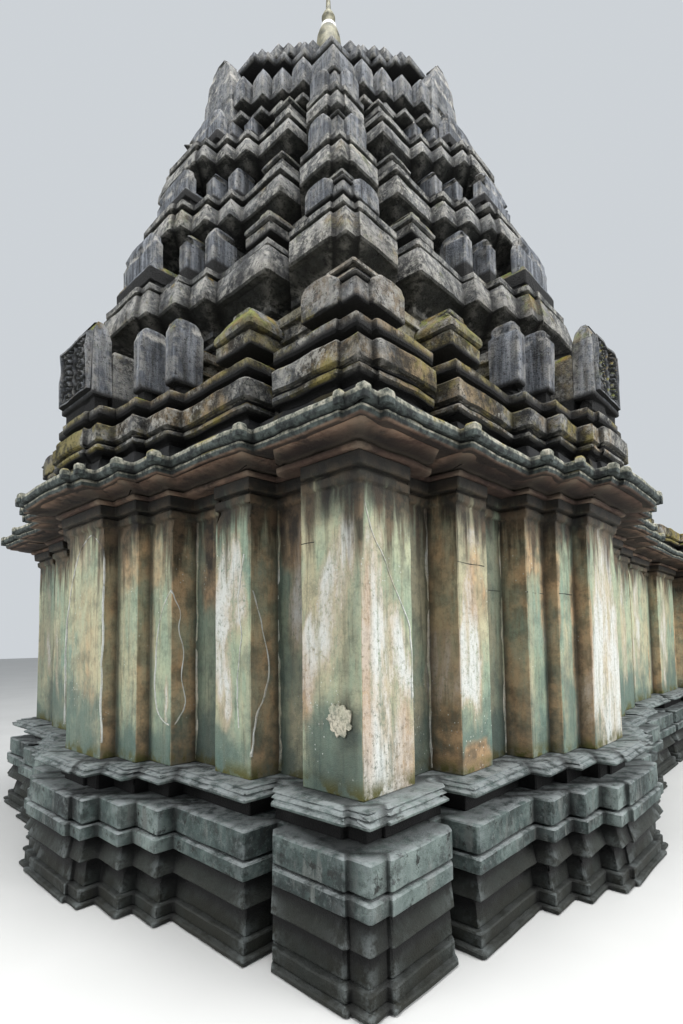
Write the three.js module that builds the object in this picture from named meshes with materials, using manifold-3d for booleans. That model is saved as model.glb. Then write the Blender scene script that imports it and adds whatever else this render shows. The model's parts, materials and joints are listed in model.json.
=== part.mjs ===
import * as THREE from "three";
import { mergeVertices } from "three/addons/utils/BufferGeometryUtils.js";
import Module from "manifold-3d";

// A stone temple: a stepped tower over a square sanctum, with a vestibule and a hall in front.
// Millimetres, +Z up. The origin is on the ground below the sanctum's centre, and +X points
// out of the entrance.

const wasm = await Module();
wasm.setup();

// Plan of the tower, from its centre. Each side steps out from the corner blocks to its middle.
const CORNER_PLANE = 2300;
const CORNER_INNER = 1860;
const OUTER_RECESS = 108;
const SIDE_STEPS = [
  { half: 1542, out: 109 },
  { half: 855, out: 223 },
  { half: 587, out: 324 },
  { half: 303, out: 436 },
];
const PILASTER_INNER = 1186;
const INNER_RECESS_OUT = 33;
const COURSE_GAP = 126;

// The corner blocks and the middle of each side have a face that stands out from its ends.
const RAISED_FACE = { out: 29, cornerEnd: 123, middleEnd: 158 };

// Plan of the vestibule and the hall.
const VESTIBULE = { half: 2070, end: 5175 };
const VESTIBULE_PILASTERS = [[2760, 3450], [4025, 4920]];
const VESTIBULE_PILASTER_OUT = 115;
const HALL = { end: 9575, half: 3000 };
const HALL_STEPS = [{ half: 1300, out: 109 }, { half: 620, out: 223 }];

// Rooms and doorways.
const SANCTUM_HALF = 1100;
const VESTIBULE_INNER = 1350;
const HALL_WALL = 650;
const SANCTUM_DOOR = { half: 450, top: 2290 };
const VESTIBULE_DOOR = { half: 700, top: 2390 };
const ENTRANCE = { half: 600, top: 2390 };

const STEPS = { count: 5, going: 280, half: 800, landingIn: 190, landingBottom: 660 };

// Heights above the ground, and how far each course stands out from the wall.
const FLOOR = 839;
const WALL_TOP = 2590;
const EAVE_TOP = 2917;
const BLOCKS_TOP = 3151;
const PLINTH_FOOTING = [[0, 225], [30, 225]];
const PLINTH_FOOT_BAND = [[30, 197], [100, 197]];
const PLINTH_BELL = [[100, 160], [255, 120], [268, 208], [405, 140]];
const PLINTH_LOWER_BAND = [[405, 212], [487, 212]];
const PLINTH_UPPER_BAND = [[487, 150], [500, 150], [500, 188], [648, 188]];
const PLINTH_TOP = [[648, 20], [778, 20], [790, 181], [FLOOR, 120]];
const ARCHITRAVE = [[WALL_TOP, 70], [2614, 74], [2618, 100], [2645, 240]];
const EAVE = [[2645, 262], [2752, 294], [2790, 100], [EAVE_TOP, 60]];
const LOWER_BLOCKS = [[EAVE_TOP, 105], [3003, 105]];
const UPPER_BLOCKS = [[3003, 80], [3020, 80], [3020, 110], [BLOCKS_TOP, 110]];
const FIRST_SLAB = [[BLOCKS_TOP, -60], [3215, -60], [3215, 71], [3291, 71]];

// Storeys of the tower: the plan's scale, the height of the cornice's lower edge, and how far
// the storey has moved towards the rear and the north.
const STOREYS = [
  {
    scale: 1, shift: 0, slabTop: 3291, roof: 3422, roofTop: 3710,
    finTop: 3860, antefixOut: 526, antefixTop: 3965,
  },
  {
    scale: 0.805, shift: 20, rim: 4055, rimTop: 4275, slabTop: 4354, roof: 4554,
    roofTop: 4791, finTop: 4860, antefixOut: 526, antefixTop: 4946,
  },
  {
    scale: 0.67, shift: 27, rim: 4929, rimTop: 5122, slabTop: 5228, roof: 5382,
    roofTop: 5590, finTop: 5620, antefixOut: 526, antefixTop: 5700,
  },
  {
    scale: 0.565, shift: 33, rim: 5688, rimTop: 5854, slabTop: 5957, roof: 6148,
    roofTop: 6344, finTop: 6330, antefixOut: 450, antefixTop: 6480,
  },
];
const RIM = { out: 207, topOut: 165 };
const UPPER_SLAB = { out: 150, thick: 50, jointOut: 60 };
const NECK_IN = -60;

// Roof models on each storey: blocks over the corners and pilasters, upright fins on the steps
// and a broad upright slab in the middle of each side.
const CORNER_ROOF_WIDTH = 360;
const PILASTER_ROOF_DEPTH = 430;
const FIN = { thick: 100, deep: 230, rise: 150 };
const ANTEFIX = { half: 290, deep: 440, front: 50, behind: 120 };

// Crown above the fourth storey.
const CROWN_CORNER = 1140;
const CROWN_STEPS = [
  { half: 860, out: 92 },
  { half: 670, out: 170 },
  { half: 512, out: 270 },
  { half: 345, out: 368 },
];
// Levels of the broad face blocks. Above the skirt they stand against the top slab.
const CROWN_FACE = [
  { z: 6436, inner: 240, outer: 405, half: 225 },
  { z: 6850, inner: 240, outer: 400, half: 205 },
  { z: 7029, inner: 260, outer: 375, half: 125 },
  { z: 7150, inner: 260, outer: 340, half: 60 },
  { z: 7185, inner: 275, outer: 320, half: 25 },
];
const CROWN_SHIFT = 35;
const CROWN_LOWER_SLAB = [[6344, 80], [6436, 80]];
const CROWN_SKIRT = [[6585, 0], [6861, -60]];
// Layers of the crown's top slab, from the lowest: half widths and planes of the steps.
const CROWN_TOP_LAYERS = [
  { bottom: 7029, top: 7097, corner: 1000, steps: [[747, 1105], [575, 1208], [470, 1314], [377, 1400]] },
  { bottom: 7097, top: 7195, corner: 940, steps: [[716, 1071], [606, 1159], [488, 1230], [387, 1315]] },
  { bottom: 7195, top: 7320, corner: 860, steps: [[710, 960], [605, 1031], [523, 1104], [448, 1164]] },
];
const CROWN_NECKS = { lower: 1000, upper: 860 };
const DOME = { base: 760, top: 8250 };
const FINIAL_TOP = 9500;

const STONE = {
  wall: { color: 0x6f7f74, roughness: 0.85, metalness: 0 },
  base: { color: 0x565c5c, roughness: 0.9, metalness: 0 },
  tower: { color: 0x3f4144, roughness: 0.92, metalness: 0 },
  eave: { color: 0x6b5648, roughness: 0.9, metalness: 0 },
};
const BRASS = { color: 0x8a8560, roughness: 0.55, metalness: 0.6 };

const rectangle = (x0, x1, y0, y1) => ({ x0, x1, y0, y1 });

const centred = (halfX, halfY) => rectangle(-halfX, halfX, -halfY, halfY);

// Closed body through rectangles at rising heights.
function loft(rings) {
  const points = [];
  for (const { x0, x1, y0, y1, z } of rings) {
    points.push(x0, y0, z, x1, y0, z, x1, y1, z, x0, y1, z);
  }
  const index = [0, 2, 1, 0, 3, 2];
  for (let ring = 0; ring < rings.length - 1; ring += 1) {
    for (let side = 0; side < 4; side += 1) {
      const a = 4 * ring + side;
      const b = 4 * ring + ((side + 1) % 4);
      index.push(a, b, b + 4, a, b + 4, a + 4);
    }
  }
  const last = 4 * (rings.length - 1);
  index.push(last, last + 1, last + 2, last, last + 2, last + 3);
  const geometry = new THREE.BufferGeometry();
  geometry.setAttribute("position", new THREE.Float32BufferAttribute(points, 3));
  geometry.setIndex(index);
  return geometry;
}

const upright = (area, bottom, top) => loft([{ ...area, z: bottom }, { ...area, z: top }]);

function toSolid(geometry) {
  const bare = geometry.clone();
  bare.deleteAttribute("normal");
  bare.deleteAttribute("uv");
  const merged = mergeVertices(bare, 1e-3);
  return new wasm.Manifold(
    new wasm.Mesh({
      numProp: 3,
      vertProperties: new Float32Array(merged.attributes.position.array),
      triVerts: new Uint32Array(merged.index.array),
    }),
  );
}

function toGeometry(solid) {
  const mesh = solid.getMesh();
  const geometry = new THREE.BufferGeometry();
  geometry.setAttribute("position", new THREE.BufferAttribute(mesh.vertProperties, 3));
  geometry.setIndex(new THREE.BufferAttribute(mesh.triVerts, 1));
  return geometry;
}

// One body out of several that overlap, with its level faces merged.
function join(geometries) {
  const solid = geometries.map(toSolid).reduce((a, b) => a.add(b));
  return toGeometry(solid.asOriginal().simplify(1e-3));
}

// A course follows a plan: every rectangle of the plan is lofted through the profile.
function course(plan, profile) {
  const levels = profile.map(([z, out]) => plan(out).map((area) => ({ ...area, z })));
  return levels[0].map((_, i) => loft(levels.map((areas) => areas[i])));
}

// Bars that cross the tower in both directions, each further out and narrower than the last.
function crossBars(corner, steps, scale, out) {
  return steps.flatMap((step) => {
    const half = step.half * scale + out;
    const plane = corner + step.out + out;
    return [centred(plane, half), centred(half, plane)];
  });
}

// Four squares in the corners, from the inner edge to the outer one.
function cornerSquares(inner, outer) {
  const spans = [[-outer, -inner], [inner, outer]];
  return spans.flatMap(([x0, x1]) => spans.map(([y0, y1]) => rectangle(x0, x1, y0, y1)));
}

// Moulded course of the tower: the narrow recess beside each corner block stays open.
function towerCourse(scale, out, gap = COURSE_GAP) {
  const corner = CORNER_PLANE * scale;
  const inner = SIDE_STEPS[0].half * scale + out + gap;
  const core = corner - OUTER_RECESS + out;
  return [
    centred(core, core),
    ...cornerSquares(inner, corner + out),
    ...crossBars(corner, SIDE_STEPS, scale, out),
  ];
}

// Wall plan of the tower: pilasters stand free between an outer and an inner recess.
function towerWalls() {
  const core = CORNER_PLANE - OUTER_RECESS;
  const [pilaster, ...steps] = SIDE_STEPS;
  const recess = CORNER_PLANE + INNER_RECESS_OUT;
  const plane = CORNER_PLANE + pilaster.out;
  const pilasters = [[-pilaster.half, -PILASTER_INNER], [PILASTER_INNER, pilaster.half]];
  return [
    centred(core, core),
    ...cornerSquares(CORNER_INNER, CORNER_PLANE),
    centred(recess, PILASTER_INNER),
    centred(PILASTER_INNER, recess),
    ...pilasters.flatMap(([a, b]) => [rectangle(-plane, plane, a, b), rectangle(a, b, -plane, plane)]),
    ...crossBars(CORNER_PLANE, steps, 1, 0),
  ];
}

// Vestibule and hall, grown by the distance that a course stands out.
function frontAreas(out) {
  const { half, end } = VESTIBULE;
  const areas = [rectangle(CORNER_PLANE, end, -half - out, half + out)];
  const pilaster = half + VESTIBULE_PILASTER_OUT + out;
  for (const [start, stop] of VESTIBULE_PILASTERS) {
    areas.push(rectangle(start - out, stop + out, -pilaster, pilaster));
  }
  const middle = (end + HALL.end) / 2;
  const side = HALL.half + out;
  areas.push(rectangle(end - out, HALL.end + out, -side, side));
  for (const step of HALL_STEPS) {
    const reach = HALL.half + step.out + out;
    areas.push(rectangle(middle - step.half - out, middle + step.half + out, -reach, reach));
  }
  const front = HALL.end + HALL_STEPS[0].out + out;
  areas.push(rectangle(middle, front, -HALL_STEPS[0].half - out, HALL_STEPS[0].half + out));
  return areas;
}

// Faces that stand out from the corner blocks and from the middle of each side.
function raisedFaces(out) {
  const { cornerEnd, middleEnd } = RAISED_FACE;
  const inner = SIDE_STEPS[0].half + out + COURSE_GAP;
  const outer = CORNER_PLANE + out;
  const end = outer - cornerEnd;
  const face = outer + RAISED_FACE.out;
  const middle = SIDE_STEPS[3];
  const half = middle.half + out - middleEnd;
  const reach = outer + middle.out + RAISED_FACE.out;
  const areas = [centred(reach, half), centred(half, reach)];
  for (const [a, b] of [[-end, -inner], [inner, end]]) {
    for (const [c, d] of [[-face, -inner], [inner, face]]) {
      areas.push(rectangle(a, b, c, d), rectangle(c, d, a, b));
    }
  }
  return areas;
}

const wholePlan = (out) => [...towerCourse(1, out), ...frontAreas(out)];

const raisedPlan = (out) => [...wholePlan(out), ...raisedFaces(out)];

// The eave runs on across the recesses beside the corner blocks.
const eavePlan = (out) => [...raisedPlan(out), ...towerCourse(1, out, -COURSE_GAP)];

const towerPlan = (scale) => (out) => towerCourse(scale, out);

// The part of a plan that lies inside a rectangle.
function clip(areas, bounds) {
  return areas
    .map((a) => ({
      x0: Math.max(a.x0, bounds.x0),
      x1: Math.min(a.x1, bounds.x1),
      y0: Math.max(a.y0, bounds.y0),
      y1: Math.min(a.y1, bounds.y1),
    }))
    .filter((a) => a.x1 - a.x0 > 1 && a.y1 - a.y0 > 1);
}

function wall(areas, bounds, bottom = FLOOR, top = WALL_TOP) {
  return join(clip(areas, bounds).map((area) => upright(area, bottom, top)));
}

// Block with a domed top.
function roofBlock(area, bottom, top) {
  const height = top - bottom;
  const levels = [[0, 0], [0.6, 0.03], [1, 0.28]];
  const width = area.x1 - area.x0;
  const depth = area.y1 - area.y0;
  return loft(
    levels.map(([rise, inset]) => ({
      x0: area.x0 + inset * width,
      x1: area.x1 - inset * width,
      y0: area.y0 + inset * depth,
      y1: area.y1 - inset * depth,
      z: bottom + rise * height,
    })),
  );
}

// Upright plate that stands across a side, cut to an outline of distance and height.
function plate(outline, centre, thick) {
  const shape = new THREE.Shape(outline.map(([out, z]) => new THREE.Vector2(out, z)));
  const geometry = new THREE.ExtrudeGeometry(shape, { depth: thick, bevelEnabled: false });
  geometry.rotateX(Math.PI / 2);
  geometry.translate(0, centre + thick / 2, 0);
  return geometry;
}

// Fin with a bullet-shaped top, standing straight out from the tower.
function fin(plane, centre, bottom, top) {
  const inner = plane - FIN.deep;
  const middle = plane - FIN.deep / 2;
  const shoulder = top - FIN.rise;
  const outline = [
    [inner, bottom],
    [plane, bottom],
    [plane, shoulder],
    [plane - FIN.deep * 0.2, shoulder + FIN.rise * 0.6],
    [middle, top],
    [inner + FIN.deep * 0.2, shoulder + FIN.rise * 0.6],
    [inner, shoulder],
  ];
  return plate(outline, centre, FIN.thick);
}

// Turns a piece of the +X side to all four sides.
function fourSides(geometries) {
  return [0, 1, 2, 3].flatMap((turn) =>
    geometries.map((geometry) => geometry.clone().rotateZ((turn * Math.PI) / 2)),
  );
}

// Middle slab of the first storey, with a top that falls away from the tower.
function firstAntefix(plane, bottom, top) {
  const { deep, half } = ANTEFIX;
  const outline = [
    [plane - deep, bottom],
    [plane, bottom],
    [plane, top - 60],
    [plane - 60, top],
    [plane - 0.55 * deep, top - 20],
    [plane - 0.6 * deep, top - 230],
    [plane - deep, top - 260],
  ];
  return plate(outline, 0, 2 * half);
}

// Middle slabs of the upper storeys: a low one in front of a taller one.
function upperAntefix(plane, bottom, top, back) {
  const { deep, half, front, behind } = ANTEFIX;
  const lower = bottom + 0.45 * (top - bottom);
  const outline = [
    [plane - deep, bottom],
    [plane, bottom],
    [plane, lower - 60],
    [plane - 0.7 * front, lower],
    [plane - front, lower],
    [plane - front, top - 80],
    [plane - 0.5 * (front + behind), top],
    [plane - behind, top - 60],
    [plane - behind, back],
    [plane - deep, back],
  ];
  return plate(outline, 0, 2 * half);
}

// Band behind the roof models, with the models joined to it.
function roofBand(storey, level) {
  const corner = CORNER_PLANE * storey.scale;
  const width = CORNER_ROOF_WIDTH * storey.scale;
  const band = centred(corner - 0.75 * width, corner - 0.75 * width);
  const pieces = [upright(band, storey.slabTop, storey.roofTop), ...bandBars(storey)];
  const roof = storey.roof;
  pieces.push(...cornerSquares(corner - width, corner).map((a) => roofBlock(a, roof, storey.roofTop)));
  const side = [];
  const [pilaster, ...steps] = SIDE_STEPS;
  const inner = PILASTER_INNER * storey.scale;
  const outer = pilaster.half * storey.scale;
  const plane = corner + pilaster.out;
  for (const [a, b] of [[-outer, -inner], [inner, outer]]) {
    side.push(roofBlock(rectangle(plane - PILASTER_ROOF_DEPTH, plane, a, b), roof, storey.roofTop));
  }
  for (const step of steps.slice(0, 2)) {
    for (const hand of [-1, 1]) {
      const centre = hand * (step.half * storey.scale - FIN.thick / 2);
      side.push(fin(corner + step.out, centre, storey.slabTop, storey.finTop));
    }
  }
  const antefix = level === 0 ? firstAntefix : upperAntefix;
  side.push(antefix(corner + storey.antefixOut, storey.slabTop, storey.antefixTop, storey.roofTop));
  pieces.push(...fourSides(side));
  return join(pieces);
}

// Cross bars that carry the fins and the middle slabs.
function bandBars(storey) {
  const corner = CORNER_PLANE * storey.scale;
  const areas = SIDE_STEPS.slice(1, 3).flatMap((step) => {
    const half = step.half * storey.scale - 0.3 * FIN.thick;
    const plane = corner + step.out - 0.8 * FIN.deep;
    return [centred(plane, half), centred(half, plane)];
  });
  return areas.map((area) => upright(area, storey.slabTop, storey.roofTop));
}

// Neck, sloping rim and thin slab of an upper storey.
function storeyCornice(storey, bottom) {
  const slabBottom = storey.slabTop - UPPER_SLAB.thick;
  const profile = [
    [bottom, NECK_IN],
    [storey.rim - 60, NECK_IN],
    [storey.rim, RIM.out],
    [storey.rimTop, RIM.topOut],
    [storey.rimTop, UPPER_SLAB.jointOut],
    [slabBottom, UPPER_SLAB.jointOut],
    [slabBottom, UPPER_SLAB.out],
    [storey.slabTop, UPPER_SLAB.out],
  ];
  return join(course(towerPlan(storey.scale), profile));
}

const crownPlan = (out) => [
  centred(CROWN_CORNER + out, CROWN_CORNER + out),
  ...crossBars(CROWN_CORNER, CROWN_STEPS, 1, out),
];

// Three layers with toothed edges, on the neck that rises from the skirt.
function crownTopSlab() {
  const half = CROWN_NECKS.upper;
  const pieces = [upright(centred(half, half), CROWN_SKIRT.at(-1)[0], CROWN_TOP_LAYERS[0].bottom + 20)];
  for (const { bottom, top, corner, steps } of CROWN_TOP_LAYERS) {
    const areas = steps.flatMap(([width, plane]) => [centred(plane, width), centred(width, plane)]);
    const base = Math.max(bottom - 20, CROWN_TOP_LAYERS[0].bottom);
    pieces.push(...[centred(corner, corner), ...areas].map((area) => upright(area, base, top)));
  }
  return join(pieces);
}

// Broad block with a tapering top that stands on the crown's lower slab.
function crownFace() {
  const at = CROWN_CORNER;
  return loft(
    CROWN_FACE.map(({ z, inner, outer, half }) => ({
      ...rectangle(at + inner, at + outer, -half, half),
      z,
    })),
  );
}

// Bell-shaped dome under the finial.
function dome() {
  const base = CROWN_TOP_LAYERS.at(-1).top;
  const outline = [
    [0, base],
    [DOME.base, base],
    [750, 7450],
    [640, 7750],
    [430, 8000],
    [230, 8150],
    [150, DOME.top],
    [0, DOME.top],
  ];
  return lathe(outline, 20);
}

function finial() {
  const outline = [
    [0, DOME.top],
    [150, DOME.top],
    [180, 8380],
    [150, 8560],
    [136, 8724],
    [96, 8850],
    [84, 8900],
    [52, 8930],
    [60, 8975],
    [40, 9010],
    [52, 9040],
    [30, 9075],
    [22, 9200],
    [6, FINIAL_TOP],
    [0, FINIAL_TOP],
  ];
  return lathe(outline, 12);
}

function lathe(outline, segments) {
  const points = outline.map(([radius, z]) => new THREE.Vector2(radius, z));
  const geometry = new THREE.LatheGeometry(points, segments);
  geometry.rotateX(Math.PI / 2);
  return toGeometry(toSolid(geometry));
}

// Steps up to the entrance, with a top step that reaches in over the plinth's mouldings.
function entranceSteps() {
  const { count, going, half, landingIn, landingBottom } = STEPS;
  const face = HALL.end + HALL_STEPS[0].out;
  const foot = face + PLINTH_FOOTING[0][1];
  const rise = FLOOR / count;
  const treads = [upright(rectangle(face + landingIn, foot + going, -half, half), landingBottom, FLOOR)];
  for (let i = 0; i < count; i += 1) {
    const area = rectangle(foot, foot + going * (count - i), -half, half);
    treads.push(upright(area, 0, rise * (i + 1)));
  }
  return join(treads);
}

const temple = new THREE.Group();

function addPiece(name, geometry, look) {
  const mesh = new THREE.Mesh(geometry, new THREE.MeshStandardMaterial(look));
  mesh.name = name;
  temple.add(mesh);
}

const shifted = (geometry, distance) => geometry.translate(-distance, distance, 0);

function addPlinth() {
  const courses = {
    plinth_footing: PLINTH_FOOTING,
    plinth_foot_band: PLINTH_FOOT_BAND,
    plinth_bell_course: PLINTH_BELL,
    plinth_lower_band: PLINTH_LOWER_BAND,
    plinth_upper_band: PLINTH_UPPER_BAND,
    plinth_top_slab: PLINTH_TOP,
  };
  for (const [name, profile] of Object.entries(courses)) {
    addPiece(name, join(course(raisedPlan, profile)), STONE.base);
  }
}

function addSanctum() {
  const areas = towerWalls();
  const far = 4000;
  const inner = SANCTUM_HALF;
  const front = CORNER_PLANE;
  const door = SANCTUM_DOOR;
  const walls = {
    sanctum_rear_wall: rectangle(-far, -inner, -far, far),
    sanctum_south_wall: rectangle(-inner, inner, -far, -inner),
    sanctum_north_wall: rectangle(-inner, inner, inner, far),
    sanctum_front_wall_south: rectangle(inner, front, -far, -door.half),
    sanctum_front_wall_north: rectangle(inner, front, door.half, far),
  };
  for (const [name, bounds] of Object.entries(walls)) {
    addPiece(name, wall(areas, bounds), STONE.wall);
  }
  const opening = rectangle(inner, front, -door.half, door.half);
  addPiece("sanctum_door_lintel", wall(areas, opening, door.top), STONE.wall);
}

function addFrontRooms() {
  const areas = frontAreas(0);
  const far = 4000;
  const { end } = VESTIBULE;
  const inside = HALL.half - HALL_WALL;
  const rear = end + HALL_WALL;
  const front = HALL.end - HALL_WALL;
  const reach = HALL.end + 500;
  const walls = {
    vestibule_south_wall: rectangle(CORNER_PLANE, end, -far, -VESTIBULE_INNER),
    vestibule_north_wall: rectangle(CORNER_PLANE, end, VESTIBULE_INNER, far),
    hall_rear_wall_south: rectangle(end, rear, -far, -VESTIBULE_DOOR.half),
    hall_rear_wall_north: rectangle(end, rear, VESTIBULE_DOOR.half, far),
    hall_south_wall: rectangle(rear, front, -far, -inside),
    hall_north_wall: rectangle(rear, front, inside, far),
    hall_front_wall_south: rectangle(front, reach, -far, -ENTRANCE.half),
    hall_front_wall_north: rectangle(front, reach, ENTRANCE.half, far),
  };
  for (const [name, bounds] of Object.entries(walls)) {
    addPiece(name, wall(areas, bounds), STONE.wall);
  }
  const inner = rectangle(end, rear, -VESTIBULE_DOOR.half, VESTIBULE_DOOR.half);
  addPiece("vestibule_lintel", wall(areas, inner, VESTIBULE_DOOR.top), STONE.wall);
  const outer = rectangle(front, reach, -ENTRANCE.half, ENTRANCE.half);
  addPiece("entrance_lintel", wall(areas, outer, ENTRANCE.top), STONE.wall);
  addPiece("entrance_steps", entranceSteps(), STONE.base);
}

function addEave() {
  addPiece("architrave", join(course(wholePlan, ARCHITRAVE)), STONE.eave);
  addPiece("eave", join(course(eavePlan, EAVE)), STONE.eave);
  addPiece("lower_roof_blocks", join(course(raisedPlan, LOWER_BLOCKS)), STONE.tower);
  addPiece("upper_roof_blocks", join(course(raisedPlan, UPPER_BLOCKS)), STONE.tower);
}

function addTower() {
  addPiece("storey_1_slab", join(course(towerPlan(1), FIRST_SLAB)), STONE.tower);
  STOREYS.forEach((storey, level) => {
    const name = `storey_${level + 1}`;
    if (level > 0) {
      const cornice = storeyCornice(storey, STOREYS[level - 1].roofTop);
      addPiece(`${name}_cornice`, shifted(cornice, storey.shift), STONE.tower);
    }
    addPiece(`${name}_roofs`, shifted(roofBand(storey, level), storey.shift), STONE.tower);
  });
}

function addCrown() {
  const { lower } = CROWN_NECKS;
  const skirtBottom = CROWN_SKIRT[0][0];
  const lowerNeck = upright(centred(lower, lower), CROWN_LOWER_SLAB[1][0], skirtBottom + 20);
  const pieces = {
    crown_lower_slab: join(course(crownPlan, CROWN_LOWER_SLAB)),
    crown_skirt: join([lowerNeck, ...course(crownPlan, CROWN_SKIRT), ...fourSides([crownFace()])]),
    crown_top_slab: crownTopSlab(),
    crown_dome: dome(),
  };
  for (const [name, geometry] of Object.entries(pieces)) {
    addPiece(name, shifted(geometry, CROWN_SHIFT), STONE.tower);
  }
  addPiece("finial", shifted(finial(), CROWN_SHIFT), BRASS);
}

addPlinth();
addSanctum();
addFrontRooms();
addEave();
addTower();
addCrown();

export default temple;
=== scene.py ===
"""A stone temple: a stepped tower over a square sanctum, with a vestibule and a hall in front.

Shapes are worked out in millimetres and made into meshes in metres. +Z is up, the origin is on
the ground below the sanctum's centre, and +X points out of the entrance.
"""

import itertools
import json
import math
import random
from typing import NamedTuple

import bpy
import numpy as np
from mathutils import Matrix, Vector

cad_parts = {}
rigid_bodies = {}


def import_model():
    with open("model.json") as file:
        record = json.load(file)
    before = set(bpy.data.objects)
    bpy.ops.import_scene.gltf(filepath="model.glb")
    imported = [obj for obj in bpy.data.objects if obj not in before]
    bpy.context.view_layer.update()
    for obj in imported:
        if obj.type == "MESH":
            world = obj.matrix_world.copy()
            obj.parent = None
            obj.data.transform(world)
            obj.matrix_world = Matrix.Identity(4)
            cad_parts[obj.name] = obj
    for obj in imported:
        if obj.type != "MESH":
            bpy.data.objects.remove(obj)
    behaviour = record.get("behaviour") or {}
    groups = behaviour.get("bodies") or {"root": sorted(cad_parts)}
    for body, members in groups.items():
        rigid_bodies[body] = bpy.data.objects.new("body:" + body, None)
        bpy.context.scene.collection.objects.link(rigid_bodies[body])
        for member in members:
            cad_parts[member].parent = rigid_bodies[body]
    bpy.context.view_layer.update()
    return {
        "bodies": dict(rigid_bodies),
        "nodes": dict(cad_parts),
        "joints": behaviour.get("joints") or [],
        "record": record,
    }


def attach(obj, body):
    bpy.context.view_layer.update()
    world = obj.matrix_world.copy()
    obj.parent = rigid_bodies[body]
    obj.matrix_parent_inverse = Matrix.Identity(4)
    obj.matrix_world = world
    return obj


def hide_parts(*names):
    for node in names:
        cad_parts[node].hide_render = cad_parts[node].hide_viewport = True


MM = 0.001

# Camera, as fitted to the corners of the plinth and the walls.
EYE = (-4.3516, -4.0829, 1.6425)
YAW = 43.0218
PITCH = 3.8836
ROLL = -0.7412
SENSOR = 36
LENS = 19.094
SHIFT_Y = 0.0876
VIEW_END = 200

# Lights in metres: name, place, size and power. All are turned to one point of the walls.
LIGHTS = [
    ("overhead_panel", (-3, -4, 16), 9, 3200),
    ("right_panel", (3, -14, 8), 7, 2200),
    ("left_panel", (-14, 2, 8), 7, 1300),
]
LIT_POINT = (0, 0, 2.5)
SKY_COLOUR = (0.90, 0.95, 1.0, 1)
SKY_STRENGTH = 0.68
FLOOR_REACH = 60
FLOOR_LEVEL = -0.002

# Points of every body: how much wider apart they stand than asked for, the angle of a sharp edge,
# and the distance of the first upright line from a corner.
COARSENESS = 1.3
SHARP_ANGLE = 38
CORNER_CUT = 7

# Joints between blocks: half width, and depth.
JOINT_HALF = 9
JOINT_DEPTH = 12

# Lengths of the shortest and the longest block of a course, on the building, tower and steps.
COURSE_BLOCKS = (420, 900)
TOWER_BLOCKS = (350, 700)
TREAD_BLOCKS = (500, 900)

# How far wear reaches from a corner and from an edge, and painted shade from a nook.
CORNER_WEAR = 45
EDGE_WEAR = 30
NOOK_SHADE = 70

# Depth and size of the bumps on a face, of the chips on its edges and of its broken corners.
BUMPS = [(4, 260), (2.5, 75)]
CHIPS = (38, 130)
BREAKS = (120, 420)

# Plan of the tower: half width at the corners and in the recesses, then half width and depth of
# each step of a side, from the pilaster beside the corner to the middle.
CORNER = 2300
CORE = 2192
STEPS = [(1542, 109), (855, 223), (587, 324), (303, 436)]
PILASTER_INNER = 1186
INNER_RECESS = 2333
WALL_CORNER_INNER = 1860
COURSE_GAP = 126

# Raised faces in the middle and at the corners of a course.
RAISED = 29
CORNER_END = 123
MIDDLE_END = 158

# Plan of the vestibule and the hall: distance along, distance from the middle, and the way in
# which a course that stands out moves the point along.
FRONT_PATH = [
    (2300, 2070, 1),
    (2760, 2070, -1),
    (2760, 2185, -1),
    (3450, 2185, 1),
    (3450, 2070, 1),
    (4025, 2070, -1),
    (4025, 2185, -1),
    (4920, 2185, 1),
    (4920, 2070, 1),
    (5175, 2070, -1),
    (5175, 3000, -1),
    (6075, 3000, -1),
    (6075, 3109, -1),
    (6755, 3109, -1),
    (6755, 3223, -1),
    (7995, 3223, 1),
    (7995, 3109, 1),
    (8675, 3109, 1),
    (8675, 3000, 1),
    (9575, 3000, 1),
    (9575, 1300, 1),
    (9684, 1300, 1),
]
FRONT_RECESSES = [(2300, 2760), (3450, 4025), (4920, 5175)]
SLIT = 8

# Courses: the way they are laid, then heights and how far they stand out.
FLOOR = 839
WALL_TOP = 2590
ROOF_TOP = 3151
COURSES = {
    "plinth_footing": ("plinth", [(0, 225), (30, 225)]),
    "plinth_foot_band": ("plinth", [(30, 197), (100, 197)]),
    "plinth_bell_course": ("plinth", [(100, 160), (255, 120), (268, 208), (405, 140)]),
    "plinth_lower_band": ("plinth", [(405, 212), (487, 212)]),
    "plinth_upper_band": ("plinth", [(487, 150), (500, 150), (500, 188), (648, 188)]),
    "plinth_top_slab": ("plinth", [(648, 20), (776, 20), (784, 179), (806, 182), (809, 156),
                                   (827, 154), (830, 120), (839, 118)]),
    "architrave": ("architrave", [(2590, 70), (2619, 76), (2621, 58), (2629, 58), (2631, 110),
                                  (2645, 240)]),
    "eave": ("eave", [(2645, 238), (2650, 262), (2686, 270), (2690, 258), (2696, 290), (2748, 294),
                      (2756, 276), (2790, 100), (2917, 60)]),
    "lower_roof_blocks": ("roof", [(2917, 45), (2948, 45), (2952, 105), (3003, 105)]),
    "upper_roof_blocks": ("roof", [(3003, 80), (3020, 80), (3020, 110), (3151, 110)]),
}
CAPITAL = [(2440, 0), (2454, 20), (2500, 24), (2505, 8), (2516, 8), (2521, 44), (WALL_TOP, 50)]

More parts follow.
